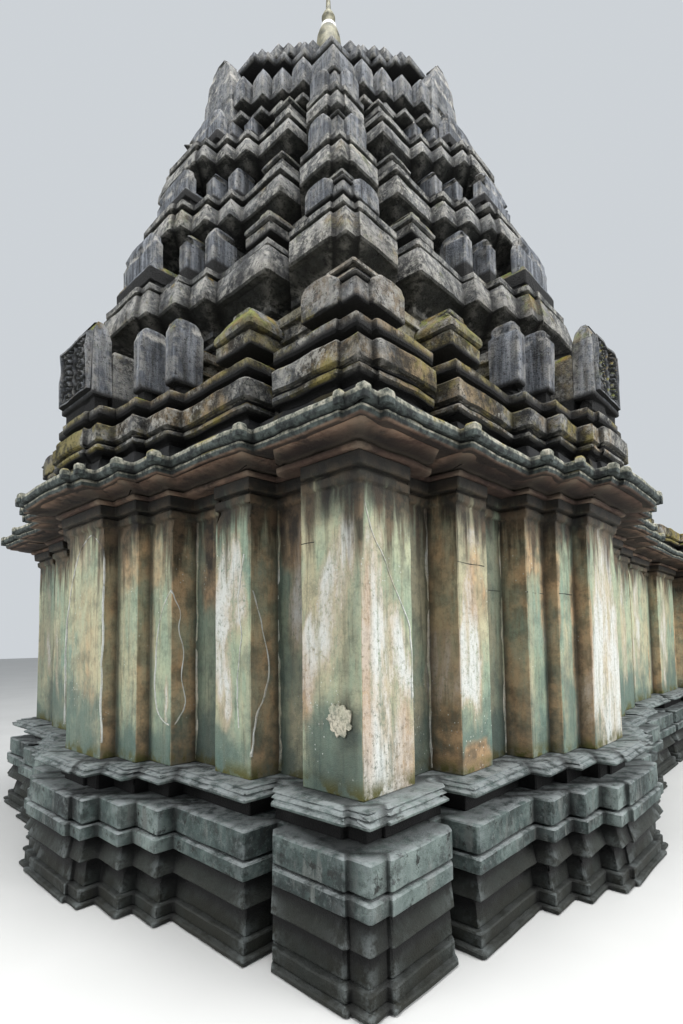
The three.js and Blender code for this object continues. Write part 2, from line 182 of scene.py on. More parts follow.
# Walls and lintels: start and end along the building, half width and lowest level. Where a wall
# stands on both sides, the half width is that of the room or doorway between them.
FAR = 4000
WALLS = [
    ("sanctum_rear_wall", -FAR, -1100, FAR, FLOOR),
    ("sanctum_{}_wall", -1100, 1100, 1100, FLOOR),
    ("sanctum_front_wall_{}", 1100, 2300, 450, FLOOR),
    ("sanctum_door_lintel", 1100, 2300, 450, 2290),
    ("vestibule_{}_wall", 2300, 5175, 1350, FLOOR),
    ("hall_rear_wall_{}", 5175, 5825, 700, FLOOR),
    ("vestibule_lintel", 5175, 5825, 700, 2390),
    ("hall_{}_wall", 5825, 8925, 2350, FLOOR),
    ("hall_front_wall_{}", 8925, 10075, 600, FLOOR),
    ("entrance_lintel", 8925, 10075, 600, 2390),
]

# Ways of laying a course: its outline, its stone, and how worn and uneven it is.
LAYINGS = {
    "plinth": ("raised", "plinth_stone", dict(softness=0.8, wave=2, bevel=7, uneven=6, wear=1.0)),
    "architrave": ("plain", "eave_stone", dict(softness=5, wave=3, bevel=7, uneven=6, wear=1.8)),
    "eave": ("eave", "eave_stone", dict(softness=1.5, wave=10, bevel=7, uneven=6, wear=1.8)),
    "roof": ("raised", "tower_stone", dict(softness=0.8, wave=16, bevel=18, uneven=12, wear=1.7)),
}

# Heights between which a course lies in deep shade, painted black.
DARK_RECESSES = {
    "plinth_top_slab": [(640, 782)],
    "eave": [(2800, 2930)],
    "lower_roof_blocks": [(2900, 2953)],
    "upper_roof_blocks": [(2990, 3016)],
}

# Small ribs on the eave: how far along the building they go, how far out they stand, half their
# width, and their heights and sides.
RIB_LAST = 2600
RIB_OUT = 276
RIB_HALF = (24, 34)
RIB = [(2696, 0), (2748, 2), (2762, -3), (2768, -12)]

# Flat roofs of the vestibule and the hall: start, end and half width. Then the length of a row,
# the width of a joint, and the length and thickness of the stones.
FLAT_ROOFS = [(2330, 5200, 1990), (5260, 9480, 2930)]
ROOF_ROW = 560
ROOF_JOINT = 12
ROOF_STONES = (600, 1100)
SHORTEST_END = 400
ROOF_STONE_TOP = (14, 26)

# Storeys of the tower: plan, shift towards the rear and the north, and heights.
FIRST_SLAB = [(3151, -60), (3215, -60), (3215, 71), (3291, 71)]
STOREYS = [
    dict(scale=1, shift=0, slab=3291, roof=3422, top=3710, lobe=3632, fin=3860, face=526,
         face_top=3965),
    dict(scale=0.805, shift=20, rim=4055, rim_top=4275, slab=4354, roof=4554, top=4791, lobe=4729,
         fin=4860, face=526, face_top=4946),
    dict(scale=0.67, shift=27, rim=4929, rim_top=5122, slab=5228, roof=5382, top=5590, lobe=5636,
         fin=5620, face=526, face_top=5700),
    dict(scale=0.565, shift=33, rim=5688, rim_top=5854, slab=5957, roof=6148, top=6344, lobe=6372,
         fin=6330, face=450, face_top=6480),
]

# Mouldings of a cornice, counted from its rim, and of the slab above it, from its top.
NECK = [(-165, -60), (-160, -25), (-130, -25), (-125, -58), (-95, -58), (-90, -10), (-50, -4), (8, 190)]
LIP = [(0, 150), (0, 207), (70, 203)]
SLAB = [(-50, 90), (-50, 150), (0, 150)]

# Ribs of the band behind the roof models: first one above the slab, distance between them, and
# their profile.
BAND_START = 110
BAND_STEP = 105
BAND_RIB = [(0, 0), (4, 24), (34, 24), (38, 0)]

# Corner roof models: start and width of a lobe, its thickness, and how far its top stands above the
# stepped piece. Then the mouldings of that piece and of the top stone.
LOBE_START = 106
LOBE_WIDTH = 290
LOBE_DEPTH = 150
LOBE_RISE = 58
STEPPED_PIECE = [(-34, 0), (-32, -14), (-24, -14), (-22, 10), (0, 8)]
TOP_STONE = [(0, -20), (34, -20), (36, 0), (62, 0), (66, -34), (104, -34), (108, -12), (140, -14)]

# Fins and middle slabs: half width and depth of each, and the gap under both, painted black as shade.
FIN_HALF = 56
FIN_DEPTH = 230
SLAB_HALF = 290
SLAB_DEPTH = 440
FOOT_GAP = 92

# Tops of the middle slabs: the carved one and the block behind it, the lower block on the other
# storeys, and the thin stone that stands up behind that.
CARVED_TOP = [(-150, -8), (-60, -26), (0, -60)]
BLOCK_TOP = [(-240, 0), (-200, -20), (-190, -50)]
LOW_TOP = [(-60, 0), (-20, -18), (0, -35)]
THIN_TOP = [(-160, 0), (-130, -22), (-80, -30), (-50, -70), (-12, -120), (0, -170)]

# Carved panel: width, points across and up, depth of the carving, and rows of leaves.
PANEL_WIDTH = 520
PANEL_GRID = (56, 64)
CARVING_DEPTH = 32
SCROLL_ROWS = 5

# Plan of the crown: half width and distance from the middle of each step, from the corner inwards.
CROWN_CORNER = 1140
CROWN_STEPS = [(860, 1232), (670, 1310), (512, 1410), (345, 1508)]
CROWN_SHIFT = 35

# Crown: the slab, skirt and neck, and half width and profile of the cores inside, painted dark as shade.
CROWN_SLAB = [(6290, 86), (6340, 86)]
CROWN_SKIRT = [(6545, 20), (6600, 22), (6606, -40), (6861, -80)]
CROWN_NECK = [(6840, -140), (6960, -146), (6990, -166)]
LOWER_CORE = (1000, [(6330, 0), (6560, 0)])
UPPER_CORE = (860, [(6861, 0), (7049, 0)])

# Stones on the skirt: half width and profile of the leaves and of the corner blocks, and the heights
# of the lowest and the highest tip.
LEAF_HALF = 74
LEAF = [(6594, 0), (6740, 3), (6790, -8)]
LEAF_TIPS = (6850, 6895)
CORNER_BLOCK_HALF = 142
CORNER_BLOCK = [(6594, 0), (6700, 4), (6785, -10), (6812, -60)]

# Broad blocks in the middle of the crown's sides: half width, how far out, depth and profile.
CROWN_FACE_HALF = 225
CROWN_FACE_OUT = 405
CROWN_FACE_DEPTH = 165
CROWN_FACE = [(6336, 0), (6600, 4), (6640, -14), (6680, 2), (6850, -12), (6900, -30), (7029, -60),
              (7060, -96), (7120, -110), (7150, -150), (7182, -172)]

# The crown's three top layers: heights, corner and steps.
CROWN_LAYERS = [
    (7029, 7097, 1000, [(747, 1105), (575, 1208), (470, 1314), (377, 1400)]),
    (7097, 7195, 940, [(716, 1071), (606, 1159), (488, 1230), (387, 1315)]),
    (7195, 7320, 860, [(710, 960), (605, 1031), (523, 1104), (448, 1164)]),
]

# Turned pieces: radius and height.
DOME = [(760, 7320), (750, 7450), (640, 7750), (430, 8000), (230, 8150), (150, 8250)]
FINIAL = [(150, 8250), (180, 8380), (155, 8560), (136, 8724), (112, 8800), (90, 8838), (92, 8850),
          (92, 8872), (76, 8884), (74, 8960), (80, 8975), (80, 8992), (70, 9005), (64, 9030),
          (40, 9070), (30, 9090), (26, 9200), (6, 9500)]

# Entrance steps: the landing's start, the foot of the wall, and the steps' number and measures.
LANDING = 9874
STAIR_FOOT = 9684 + 225
STAIR_COUNT = 5
STAIR_GOING = 280
STAIR_HALF = 800

# Sides of the sanctum: the way along, and the way the wall faces.
SIDES = {"west": ((0, 1), (-1, 0)), "south": ((1, 0), (0, -1))}

# Patches of limewash: place along, height, half width, half height, lean and strength.
WASHES = {
    "west": [
        (-2110, 1850, 180, 460, -0.25, 0.9),
        (-2060, 1400, 150, 300, 0.05, 0.3),
        (-1900, 1500, 50, 330, 0.0, 0.9),
        (-1350, 1990, 180, 330, -0.05, 1.1),
        (-1260, 1520, 100, 420, 0.12, 0.9),
        (-1740, 2010, 90, 480, 0.0, 0.8),
        (20, 2290, 180, 150, 0.3, 0.8),
        (-795, 1250, 34, 170, 0.0, 1.1),
        (1480, 1800, 60, 700, 0.1, 0.7),
        (2000, 1900, 70, 600, 0.1, 0.8),
    ],
    "south": [
        (-2110, 1280, 320, 680, 0.0, 1.2),
        (-2215, 1980, 120, 420, 0.12, 1.1),
        (-2090, 1400, 70, 330, 0.05, -0.4),
        (-1370, 2250, 170, 90, 0.0, 0.9),
        (-1430, 1640, 130, 520, 0.05, 1.05),
        (-1300, 1450, 120, 450, 0.0, 0.5),
        (-1535, 1480, 60, 260, 0.1, 0.9),
        (-640, 1700, 60, 600, 0.0, 0.45),
        (-420, 1600, 50, 700, 0.0, 0.45),
        (0, 1600, 330, 1000, 0.0, 1.25),
        (2000, 1700, 130, 800, 0.1, 0.7),
        (2950, 1800, 170, 800, 0.12, 1.0),
        (4250, 1700, 200, 800, 0.1, 0.9),
        (6900, 1700, 300, 700, 0.1, 0.9),
        (8300, 1900, 200, 500, -0.1, 0.8),
    ],
}

# Rusty and ochre stains, in the same terms.
STAINS = {
    "west": [
        (-1700, 2330, 170, 300, 0.0, 1.0),
        (-1885, 1420, 40, 260, 0.0, 0.8),
        (-560, 2250, 200, 300, 0.0, 0.8),
        (-1050, 2200, 160, 400, 0.0, 0.9),
        (-60, 1650, 300, 600, 0.0, 0.35),
    ],
    "south": [
        (-2258, 1500, 50, 620, 0.0, 1.0),
        (-1950, 1050, 90, 300, 0.0, 0.8),
        (-1330, 1960, 130, 260, 0.0, 0.7),
        (-1380, 930, 190, 110, 0.0, 1.3),
        (-700, 2250, 200, 250, 0.0, 0.8),
        (-600, 1900, 60, 260, 0.0, 0.9),
        (-330, 1700, 60, 500, 0.0, 0.9),
        (3450, 1500, 60, 500, 0.0, 0.9),
        (4900, 1500, 60, 500, 0.0, 0.9),
    ],
}

# Dark patches, in the same terms: painted shade on the wall tops under the eave, and other darker patches.
DARK_PATCHES = {
    "west": [
        (-2080, 2540, 340, 330, 0.0, 0.66),
        (-2240, 1500, 70, 420, 0.0, 0.40),
        (-2080, 1080, 230, 330, 0.0, 0.50),
        (-1360, 2560, 260, 260, 0.0, 0.60),
        (-700, 2560, 170, 260, 0.0, 0.55),
        (-430, 2560, 150, 230, 0.0, 0.50),
        (1900, 1600, 500, 1200, 0.0, 0.45),
    ],
    "south": [
        (-2130, 2560, 300, 260, 0.0, 0.62),
        (-1360, 2560, 260, 300, 0.0, 0.62),
        (-700, 2560, 170, 300, 0.0, 0.60),
        (-430, 2560, 150, 260, 0.0, 0.60),
        (0, 2580, 320, 170, 0.0, 0.50),
        (-760, 1250, 110, 450, 0.0, 0.40),
    ],
}

# Lines of lime on the walls: side, plane of the face, width, then points along and up.
LIME_LINES = [
    ("west", 2736, 14, [(-284, 2319), (-100, 2430), (90, 2330), (240, 2080), (320, 1800),
                        (335, 1500), (325, 1000)]),
    ("west", 2736, 12, [(-284, 2319), (-330, 2120), (-300, 1928), (-325, 1650), (-300, 1313),
                        (-330, 950)]),
    ("west", 2523, 13, [(-848, 1975), (-760, 1880), (-690, 1740), (-649, 1514), (-660, 1300),
                        (-683, 1184), (-760, 1110), (-850, 1100)]),
    ("south", 855, 11, [(-2515, 1970), (-2450, 1850), (-2480, 1700), (-2420, 1560), (-2460, 1400),
                        (-2405, 1260), (-2440, 1150), (-2515, 1090)]),
    ("south", 1542, 13, [(-2400, 1930), (-2340, 1800), (-2290, 1640), (-2250, 1480), (-2300, 1330),
                         (-2365, 1200), (-2395, 960)]),
    ("south", 2300, 13, [(-2262, 2350), (-2180, 2150), (-2098, 2056), (-2030, 1930), (-1948, 1794),
                         (-1886, 1713), (-1880, 1300)]),
    ("west", 2409, 9, [(-1480, 2150), (-1430, 1900), (-1460, 1650), (-1410, 1400), (-1440, 1100)]),
]

# Crust of lichen: side, plane of the face, centre and radius.
LICHEN = ("west", CORNER, (-2147, 1226), 86)

# Cracks and bed joints that show as thin dark lines, in the terms of the lines of lime.
CRACKS = [
    ("south", 2523, 8, [(-850, 1938), (-760, 1934), (-640, 1940), (-590, 1936)]),
    ("south", 2624, 8, [(-585, 1935), (-470, 1940), (-380, 1934), (-306, 1938)]),
    ("south", 2333, 8, [(-1180, 1960), (-1050, 1952), (-860, 1955)]),
    ("south", 2409, 8, [(-1538, 2090), (-1400, 2084), (-1300, 2092), (-1190, 2086)]),
    ("west", 2300, 7, [(-1864, 2170), (-1930, 2176), (-1990, 2168)]),
]

# Mortar in the upright joints beside the pilasters and the corner blocks: side and place along.
MORTAR_JOINTS = [(side, along) for side in SIDES for along in (-1547, -1855, -1181, -860)]
MORTAR_JOINTS += [("west", 1181), ("west", 1547), ("south", 1547), ("south", 1855)]
MORTAR_WIDTH = 22


class Part(NamedTuple):
    """A closed body: points in millimetres, faces, marks, and the way each point faces."""

    points: np.ndarray
    faces: list
    marks: dict
    normal: np.ndarray | None = None


def lattice(cell, seed):
    """A number from 0 to 1 for each whole-numbered cell."""
    x, y, z = cell.T
    mixed = (x * 374761393 + y * 668265263 + z * 1440662683 + seed * 974634777) & 0xFFFFFFFF
    mixed = ((mixed ^ (mixed >> 13)) * 1274126177) & 0xFFFFFFFF
    return (mixed ^ (mixed >> 16)) / 0xFFFFFFFF


def noise(points, size, seed=0):
    """Smooth noise from -1 to 1 whose features are about one size across."""
    scaled = points / size
    cell = np.floor(scaled).astype(np.int64)
    f = scaled - cell
    f = f * f * (3 - 2 * f)
    total = np.zeros(len(points))
    for corner in itertools.product((0, 1), repeat=3):
        weight = np.prod(np.where(corner, f, 1 - f), axis=1)
        total += weight * lattice(cell + corner, seed)
    return 2 * total - 1


def four_sided(half):
    """Outline from half a side: points of (distance along, distance out), middle to corner."""
    side = [(-t, p) for t, p in half[::-1]] + half[:-1]
    base, push = [], []
    for turn in range(4):
        for t, p in side:
            spot, way = (t, -p), (math.copysign(1, t), -1)
            for _ in range(turn):
                spot, way = (-spot[1], spot[0]), (-way[1], way[0])
            base.append(spot)
            push.append(way)
    return np.array(base, float), np.array(push, float)


def stepped(steps):
    """Points of half a side, from its middle outwards, from steps of (half width, plane)."""
    points = []
    for half, plane in steps[::-1]:
        if points:
            points.append((points[-1][0], plane))
        points.append((half, plane))
    return points


def tower_half(scale, raised=False, recess=True):
    """Half a side of the tower's courses."""
    corner = CORNER * scale
    core = corner - (CORNER - CORE)
    points = stepped([(half * scale, corner + out) for half, out in STEPS])
    if raised:
        end, plane = (STEPS[-1][0] - MIDDLE_END) * scale, points[0][1]
        points = [(end, plane + RAISED), (end, plane), *points]
    start = points[-1][0]
    if recess:
        points += [(start, core), (start + COURSE_GAP, core)]
        start += COURSE_GAP
    if raised:
        end = corner - CORNER_END * scale
        points += [(start, corner + RAISED), (end, corner + RAISED), (end, corner)]
    else:
        points.append((start, corner))
    return points + [(corner, corner)]


def wall_half():
    """Half a side of the sanctum's walls."""
    points = stepped([(half, CORNER + out) for half, out in STEPS[1:]])
    pilaster, out = STEPS[0]
    return points + [
        (points[-1][0], INNER_RECESS),
        (PILASTER_INNER, INNER_RECESS),
        (PILASTER_INNER, CORNER + out),
        (pilaster, CORNER + out),
        (pilaster, CORE),
        (WALL_CORNER_INNER, CORE),
        (WALL_CORNER_INNER, CORNER),
        (CORNER, CORNER),
    ]


def crown_plan(corner, steps):
    """Outline of a course of the crown."""
    points = stepped(steps)
    return four_sided(points + [(points[-1][0], corner), (corner, corner)])


def with_front(half):
    """Outline of the whole building, from half a side of the tower."""
    base, push = four_sided(half)
    south = [(x, -y) for x, y, _ in FRONT_PATH]
    north = [(x, y) for x, y, _ in FRONT_PATH[::-1]]
    ways = [(m, -1) for *_, m in FRONT_PATH] + [(m, 1) for *_, m in FRONT_PATH[::-1]]
    start = 2 * len(half)
    end = 2 * (start - 1)
    return np.vstack([base[:start], south + north, base[end:]]), np.vstack([push[:start], ways, push[end:]])


def polygon(points):
    """Outline of any anticlockwise polygon."""
    base = np.array(points, float)
    runs = np.roll(base, -1, axis=0) - base
    normals = np.stack([runs[:, 1], -runs[:, 0]], axis=1) / np.hypot(*runs.T)[:, None]
    before = np.roll(normals, 1, axis=0)
    return base, (before + normals) / (1 + np.sum(before * normals, axis=1))[:, None]


def rectangle(x0, x1, y0, y1, give=(1, 1)):
    """Outline of a rectangle, and how far its corners move along and across."""
    base = np.array([(x0, y0), (x1, y0), (x1, y1), (x0, y1)], float)
    push = np.array([(-1, -1), (1, -1), (1, 1), (-1, 1)], float)
    return base, push * give


def square(x, y, half):
    """Outline of a square, from its middle."""
    return rectangle(x - half, x + half, y - half, y + half)


def clipped(outline, x0, x1, y0, y1):
    """The part of an outline inside a rectangle. The cuts don't move outwards."""
    points = [(*spot, *way) for spot, way in zip(*outline)]
    for axis, limit, keep in ((0, x0, 1), (0, x1, -1), (1, y0, 1), (1, y1, -1)):
        kept = []
        for a, b in zip(points, points[1:] + points[:1]):
            a_inside, b_inside = (keep * (p[axis] - limit) >= 0 for p in (a, b))
            if a_inside:
                kept.append(a)
            if a_inside != b_inside:
                kept.append((limit, a[1], 0.0, a[3]) if axis == 0 else (a[0], limit, a[2], 0.0))
        points = [p for p, q in zip(kept, kept[1:] + kept[:1]) if math.dist(p[:2], q[:2]) > 1]
    around = zip(points[-1:] + points[:-1], points, points[1:] + points[:1])
    points = np.array([b for a, b, c in around if not doubles_back(a, b, c)])
    return points[:, :2], points[:, 2:]


def doubles_back(a, b, c):
    """Whether a path through three points turns right round at the middle one."""
    to, on = (b[0] - a[0], b[1] - a[1]), (c[0] - b[0], c[1] - b[1])
    return abs(to[0] * on[1] - to[1] * on[0]) < 1 and to[0] * on[0] + to[1] * on[1] < 0


def close_slits(points, out):
    """Keeps a thin slit where a course's ends would meet across a recess."""
    for low, high in FRONT_RECESSES:
        if low + out <= high - out - SLIT:
            continue
        middle = (low + high) / 2
        x = points[:, 0]
        x[np.isclose(x, low + out)] = middle - SLIT / 2
        x[np.isclose(x, high - out)] = middle + SLIT / 2
    return points


def outer_corners(outline):
    """Number, place and way outwards of each corner that stands out."""
    base, push = outline
    before = base - np.roll(base, 1, axis=0)
    after = np.roll(base, -1, axis=0) - base
    turns = before[:, 0] * after[:, 1] - before[:, 1] * after[:, 0]
    return [(k, base[k], push[k]) for k in range(len(base)) if turns[k] > 0]


class Columns:
    """Where the upright lines of a body stand along an outline."""

    def __init__(self, outline, spacing, joints, seed):
        self.base, self.push = outline
        rng = random.Random(seed)
        count = len(self.base)
        runs = np.roll(self.base, -1, axis=0) - self.base
        lengths = np.hypot(*runs.T)
        normals = np.stack([runs[:, 1], -runs[:, 0]], axis=1) / lengths[:, None]
        before = np.roll(normals, 1, axis=0)
        turns = before[:, 0] * normals[:, 1] - before[:, 1] * normals[:, 0]
        nook, ridge = turns < -0.5, turns > 0.5
        rows = []
        block = 0
        for side, length in enumerate(lengths):
            block += int(nook[side])
            seams = self.seams(length, joints, rng)
            marks = self.marks(length, spacing, seams)
            for mark in sorted(marks):
                end = side if mark < length / 2 else (side + 1) % count
                worn = math.exp(-min(mark, length - mark) / CORNER_WEAR) * ridge[end]
                passed = sum(seam <= mark for seam in seams)
                rows.append((side, mark / length, *normals[side], marks[mark], worn, block + passed))
            block += len(seams)
        table = np.array(rows)
        self.edge = table[:, 0].astype(int)
        self.share = table[:, 1:2]
        self.normal = table[:, 2:4]
        self.inset = table[:, 4]
        self.corner = table[:, 5]
        self.block = table[:, 6].astype(int)
        run = lengths[self.edge]
        along = self.share[:, 0] * run
        # Painted shade, fading away from a nook.
        nook_before = nook[self.edge] * np.exp(-along / NOOK_SHADE)
        nook_after = nook[(self.edge + 1) % count] * np.exp(-(run - along) / NOOK_SHADE)
        self.nook = np.maximum(nook_before, nook_after)

    def seams(self, length, joints, rng):
        """Places of the joints along a side, from the shortest and the longest block."""
        if not joints or length <= joints[1]:
            return []
        places = []
        at = rng.uniform(*joints) * rng.uniform(0.5, 1)
        while at < length - 0.4 * joints[0]:
            places.append(at)
            at += rng.uniform(*joints)
        return places

    def marks(self, length, spacing, seams):
        """Depth of each upright line, by its place along a side."""
        cut = min(CORNER_CUT, length / 4)
        pieces = round(length / spacing)
        places = [cut, length - cut, *(np.arange(1, pieces) * length / max(1, pieces))]
        marks = dict.fromkeys(places, 0.0)
        for seam in seams:
            marks.update({seam - JOINT_HALF: 0.0, seam: JOINT_DEPTH, seam + JOINT_HALF: 0.0})
        return marks

    def at(self, out):
        """Places of the lines at a level where the body stands out by a distance."""
        corners = close_slits(self.base + out * self.push, out)
        ends = np.roll(corners, -1, axis=0)
        return corners[self.edge] * (1 - self.share) + ends[self.edge] * self.share


def dense_profile(points, bevel, step, lead):
    """Rings of (height, out, wear): rounded at the corners and at most one step apart."""
    path = [(points[0][0], points[0][1] - lead), *points, (points[-1][0], points[-1][1] - lead)]
    path = [np.array(p, float) for p in path]
    rounded = [(path[0], 0.0)]
    for a, b, c in zip(path, path[1:], path[2:]):
        to_a, to_c = a - b, c - b
        cut = min(bevel, 0.4 * np.hypot(*to_a), 0.4 * np.hypot(*to_c))
        to_a, to_c = to_a / np.hypot(*to_a), to_c / np.hypot(*to_c)
        wear = 1.0 if to_a[1] * to_c[0] - to_a[0] * to_c[1] > 0.1 else 0.0
        rounded += [(b + cut * to_a, wear), (b + cut * to_c, wear)]
    rounded.append((path[-1], 0.0))
    rings = []
    for (a, wear_a), (b, wear_b) in zip(rounded, rounded[1:]):
        reach = math.dist(a, b)
        pieces = max(1, math.ceil(reach / step))
        for k in range(pieces):
            share = k / pieces
            wear = max(wear_a * math.exp(-share * reach / EDGE_WEAR),
                       wear_b * math.exp(-(1 - share) * reach / EDGE_WEAR))
            rings.append((*(a * (1 - share) + b * share), wear))
    rings.append((*path[-1], 0.0))
    return np.array(rings)


def lifted(level, profile):
    """The profile, counted from a level."""
    return [(level + z, out) for z, out in profile]


def sheltered(z, out, cover, shade_bands, softness):
    """How far what stands out above hides the sky from a level, from 0 to 1, as painted shade."""
    if any(low < z < high for low, high in shade_bands):
        return 1.0
    reach = max(((o - out) / (h - z + 12) for h, o in cover if h > z + 2), default=0)
    return min(1.0, max(0.0, (reach - 0.2) / softness))


def ring_faces(levels, count):
    """Faces of a closed body whose points lie in rings, one above the other."""
    ring = np.arange(count)
    following = np.roll(ring, -1)
    faces = []
    for level in range(levels - 1):
        low, high = level * count, (level + 1) * count
        faces += np.column_stack([low + ring, low + following, high + following, high + ring]).tolist()
    last = (levels - 1) * count
    return faces + [list(range(count - 1, -1, -1)), list(range(last, last + count))]


def body(outline, profile, spacing=60, step=60, bevel=6, lead=40, joints=None, wear=1.0, seed=0,
         uneven=4.0, cover=(), shade_bands=(), softness=0.9, wave=0.0, tone=0.0, grime=0.0):
    """A closed body: the outline carried through the profile, in blocks, worn and uneven."""
    columns = Columns(outline, spacing * COARSENESS, joints, seed)
    rings = dense_profile(profile, bevel, step * COARSENESS, lead)
    count = len(columns.share)
    rng = np.random.default_rng(seed)
    blocks = columns.block.max() + 1
    proud = rng.uniform(-uneven, uneven, blocks)[columns.block]
    lift = rng.uniform(-uneven, uneven, blocks)[columns.block] * 0.5
    cover = [*cover, *profile]
    levels = []
    painted_shade = []
    for number, (z, out, _) in enumerate(rings):
        spots = columns.at(out)
        if 0 < number < len(rings) - 1:
            spots = spots + columns.normal * (proud - columns.inset)[:, None]
        levels.append(np.column_stack([spots, z + lift]))
        # Painted shade: darker under what stands out above, in the shade bands and near nooks.
        painted_shade.append(np.maximum(sheltered(z, out, cover, shade_bands, softness), 0.75 * columns.nook))
    points = np.vstack(levels)
    normal = np.tile(columns.normal, (len(rings), 1))
    edge = np.repeat(rings[:, 2], count)
    corner = np.tile(columns.corner, len(rings))
    bumps = sum(depth * noise(points, size, seed + k) for k, (depth, size) in enumerate(BUMPS))
    chips = np.clip(noise(points, CHIPS[1], seed + 2) - 0.15, 0, 1) * CHIPS[0] * edge
    breaks = np.clip(noise(points, BREAKS[1], seed + 3) - 0.05, 0, 1) * BREAKS[0] * edge * corner
    inwards = wear * (chips + breaks - bumps)
    inwards[:count] = 0
    inwards[-count:] = 0
    points[:, :2] -= normal * inwards[:, None]
    points[:, 2] += wear * (edge * 4 * noise(points, 90, seed + 4) + 1.5 * noise(points, 120, seed + 5))
    flat = points * np.array([1, 1, 0])
    points[:, 2] += wave * (noise(flat, 380, 6) + 0.5 * noise(flat, 140, 7))
    # The dark mark holds this painted shade, raised to any painted shade given for the whole body.
    marks = {
        "worn": np.maximum(edge, 0.6 * corner),
        "grime": np.maximum(np.concatenate(painted_shade), grime),
        "tone": np.full(len(points), float(tone)),
        "course": np.repeat(rings[:, 0], count) * MM,
    }
    return Part(points, ring_faces(len(rings), count), marks, normal)


def darkened(part, level):
    """The body with everything below a level blackened, as painted shade."""
    grime = np.maximum(part.marks["grime"], part.points[:, 2] < level)
    return part._replace(marks={**part.marks, "grime": grime})


def shifted(parts, distance):
    """The bodies moved by one distance both towards the rear and towards the north."""
    return [part._replace(points=part.points + np.array([-distance, distance, 0])) for part in parts]


def turned(part, turn):
    """The body turned by quarter turns about the tower's middle."""
    points = part.points
    for _ in range(turn):
        points = np.column_stack([-points[:, 1], points[:, 0], points[:, 2]])
    return part._replace(points=points)


def stood(part, origin, along, front):
    """Stands a body up: its plan becomes distance along and height, its height the depth behind."""
    u, v, w = part.points.T
    flat = np.array(origin)[None, :] + np.outer(u, along) - np.outer(w, front)
    faces = part.faces
    if along[0] * front[1] - along[1] * front[0] < 0:
        faces = [face[::-1] for face in faces]
    return part._replace(points=np.column_stack([flat, v]), faces=faces)


def make_piece(name, parts, materials, slot, node=None):
    """One object out of several bodies, none of them below the ground."""
    points = np.vstack([part.points for part in parts])
    points[:, 2] = np.maximum(points[:, 2], 0)
    faces = []
    start = 0
    for part in parts:
        faces += [[start + k for k in face] for face in part.faces]
        start += len(part.points)
    mesh = bpy.data.meshes.new(name)
    mesh.from_pydata((points * MM).tolist(), [], faces)
    mesh.polygons.foreach_set("use_smooth", [True] * len(mesh.polygons))
    mesh.set_sharp_from_angle(angle=math.radians(SHARP_ANGLE))
    for mark in sorted({mark for part in parts for mark in part.marks}):
        values = [part.marks.get(mark, np.zeros(len(part.points))) for part in parts]
        layer = mesh.attributes.new(mark, "FLOAT", "POINT")
        layer.data.foreach_set("value", np.concatenate(values).astype(np.float32))
    mesh.materials.append(materials[slot])
    mesh.update()
    piece = bpy.data.objects.new(name, mesh)
    bpy.context.scene.collection.objects.link(piece)
    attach(piece, "root")
    if node:
        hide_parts(node)


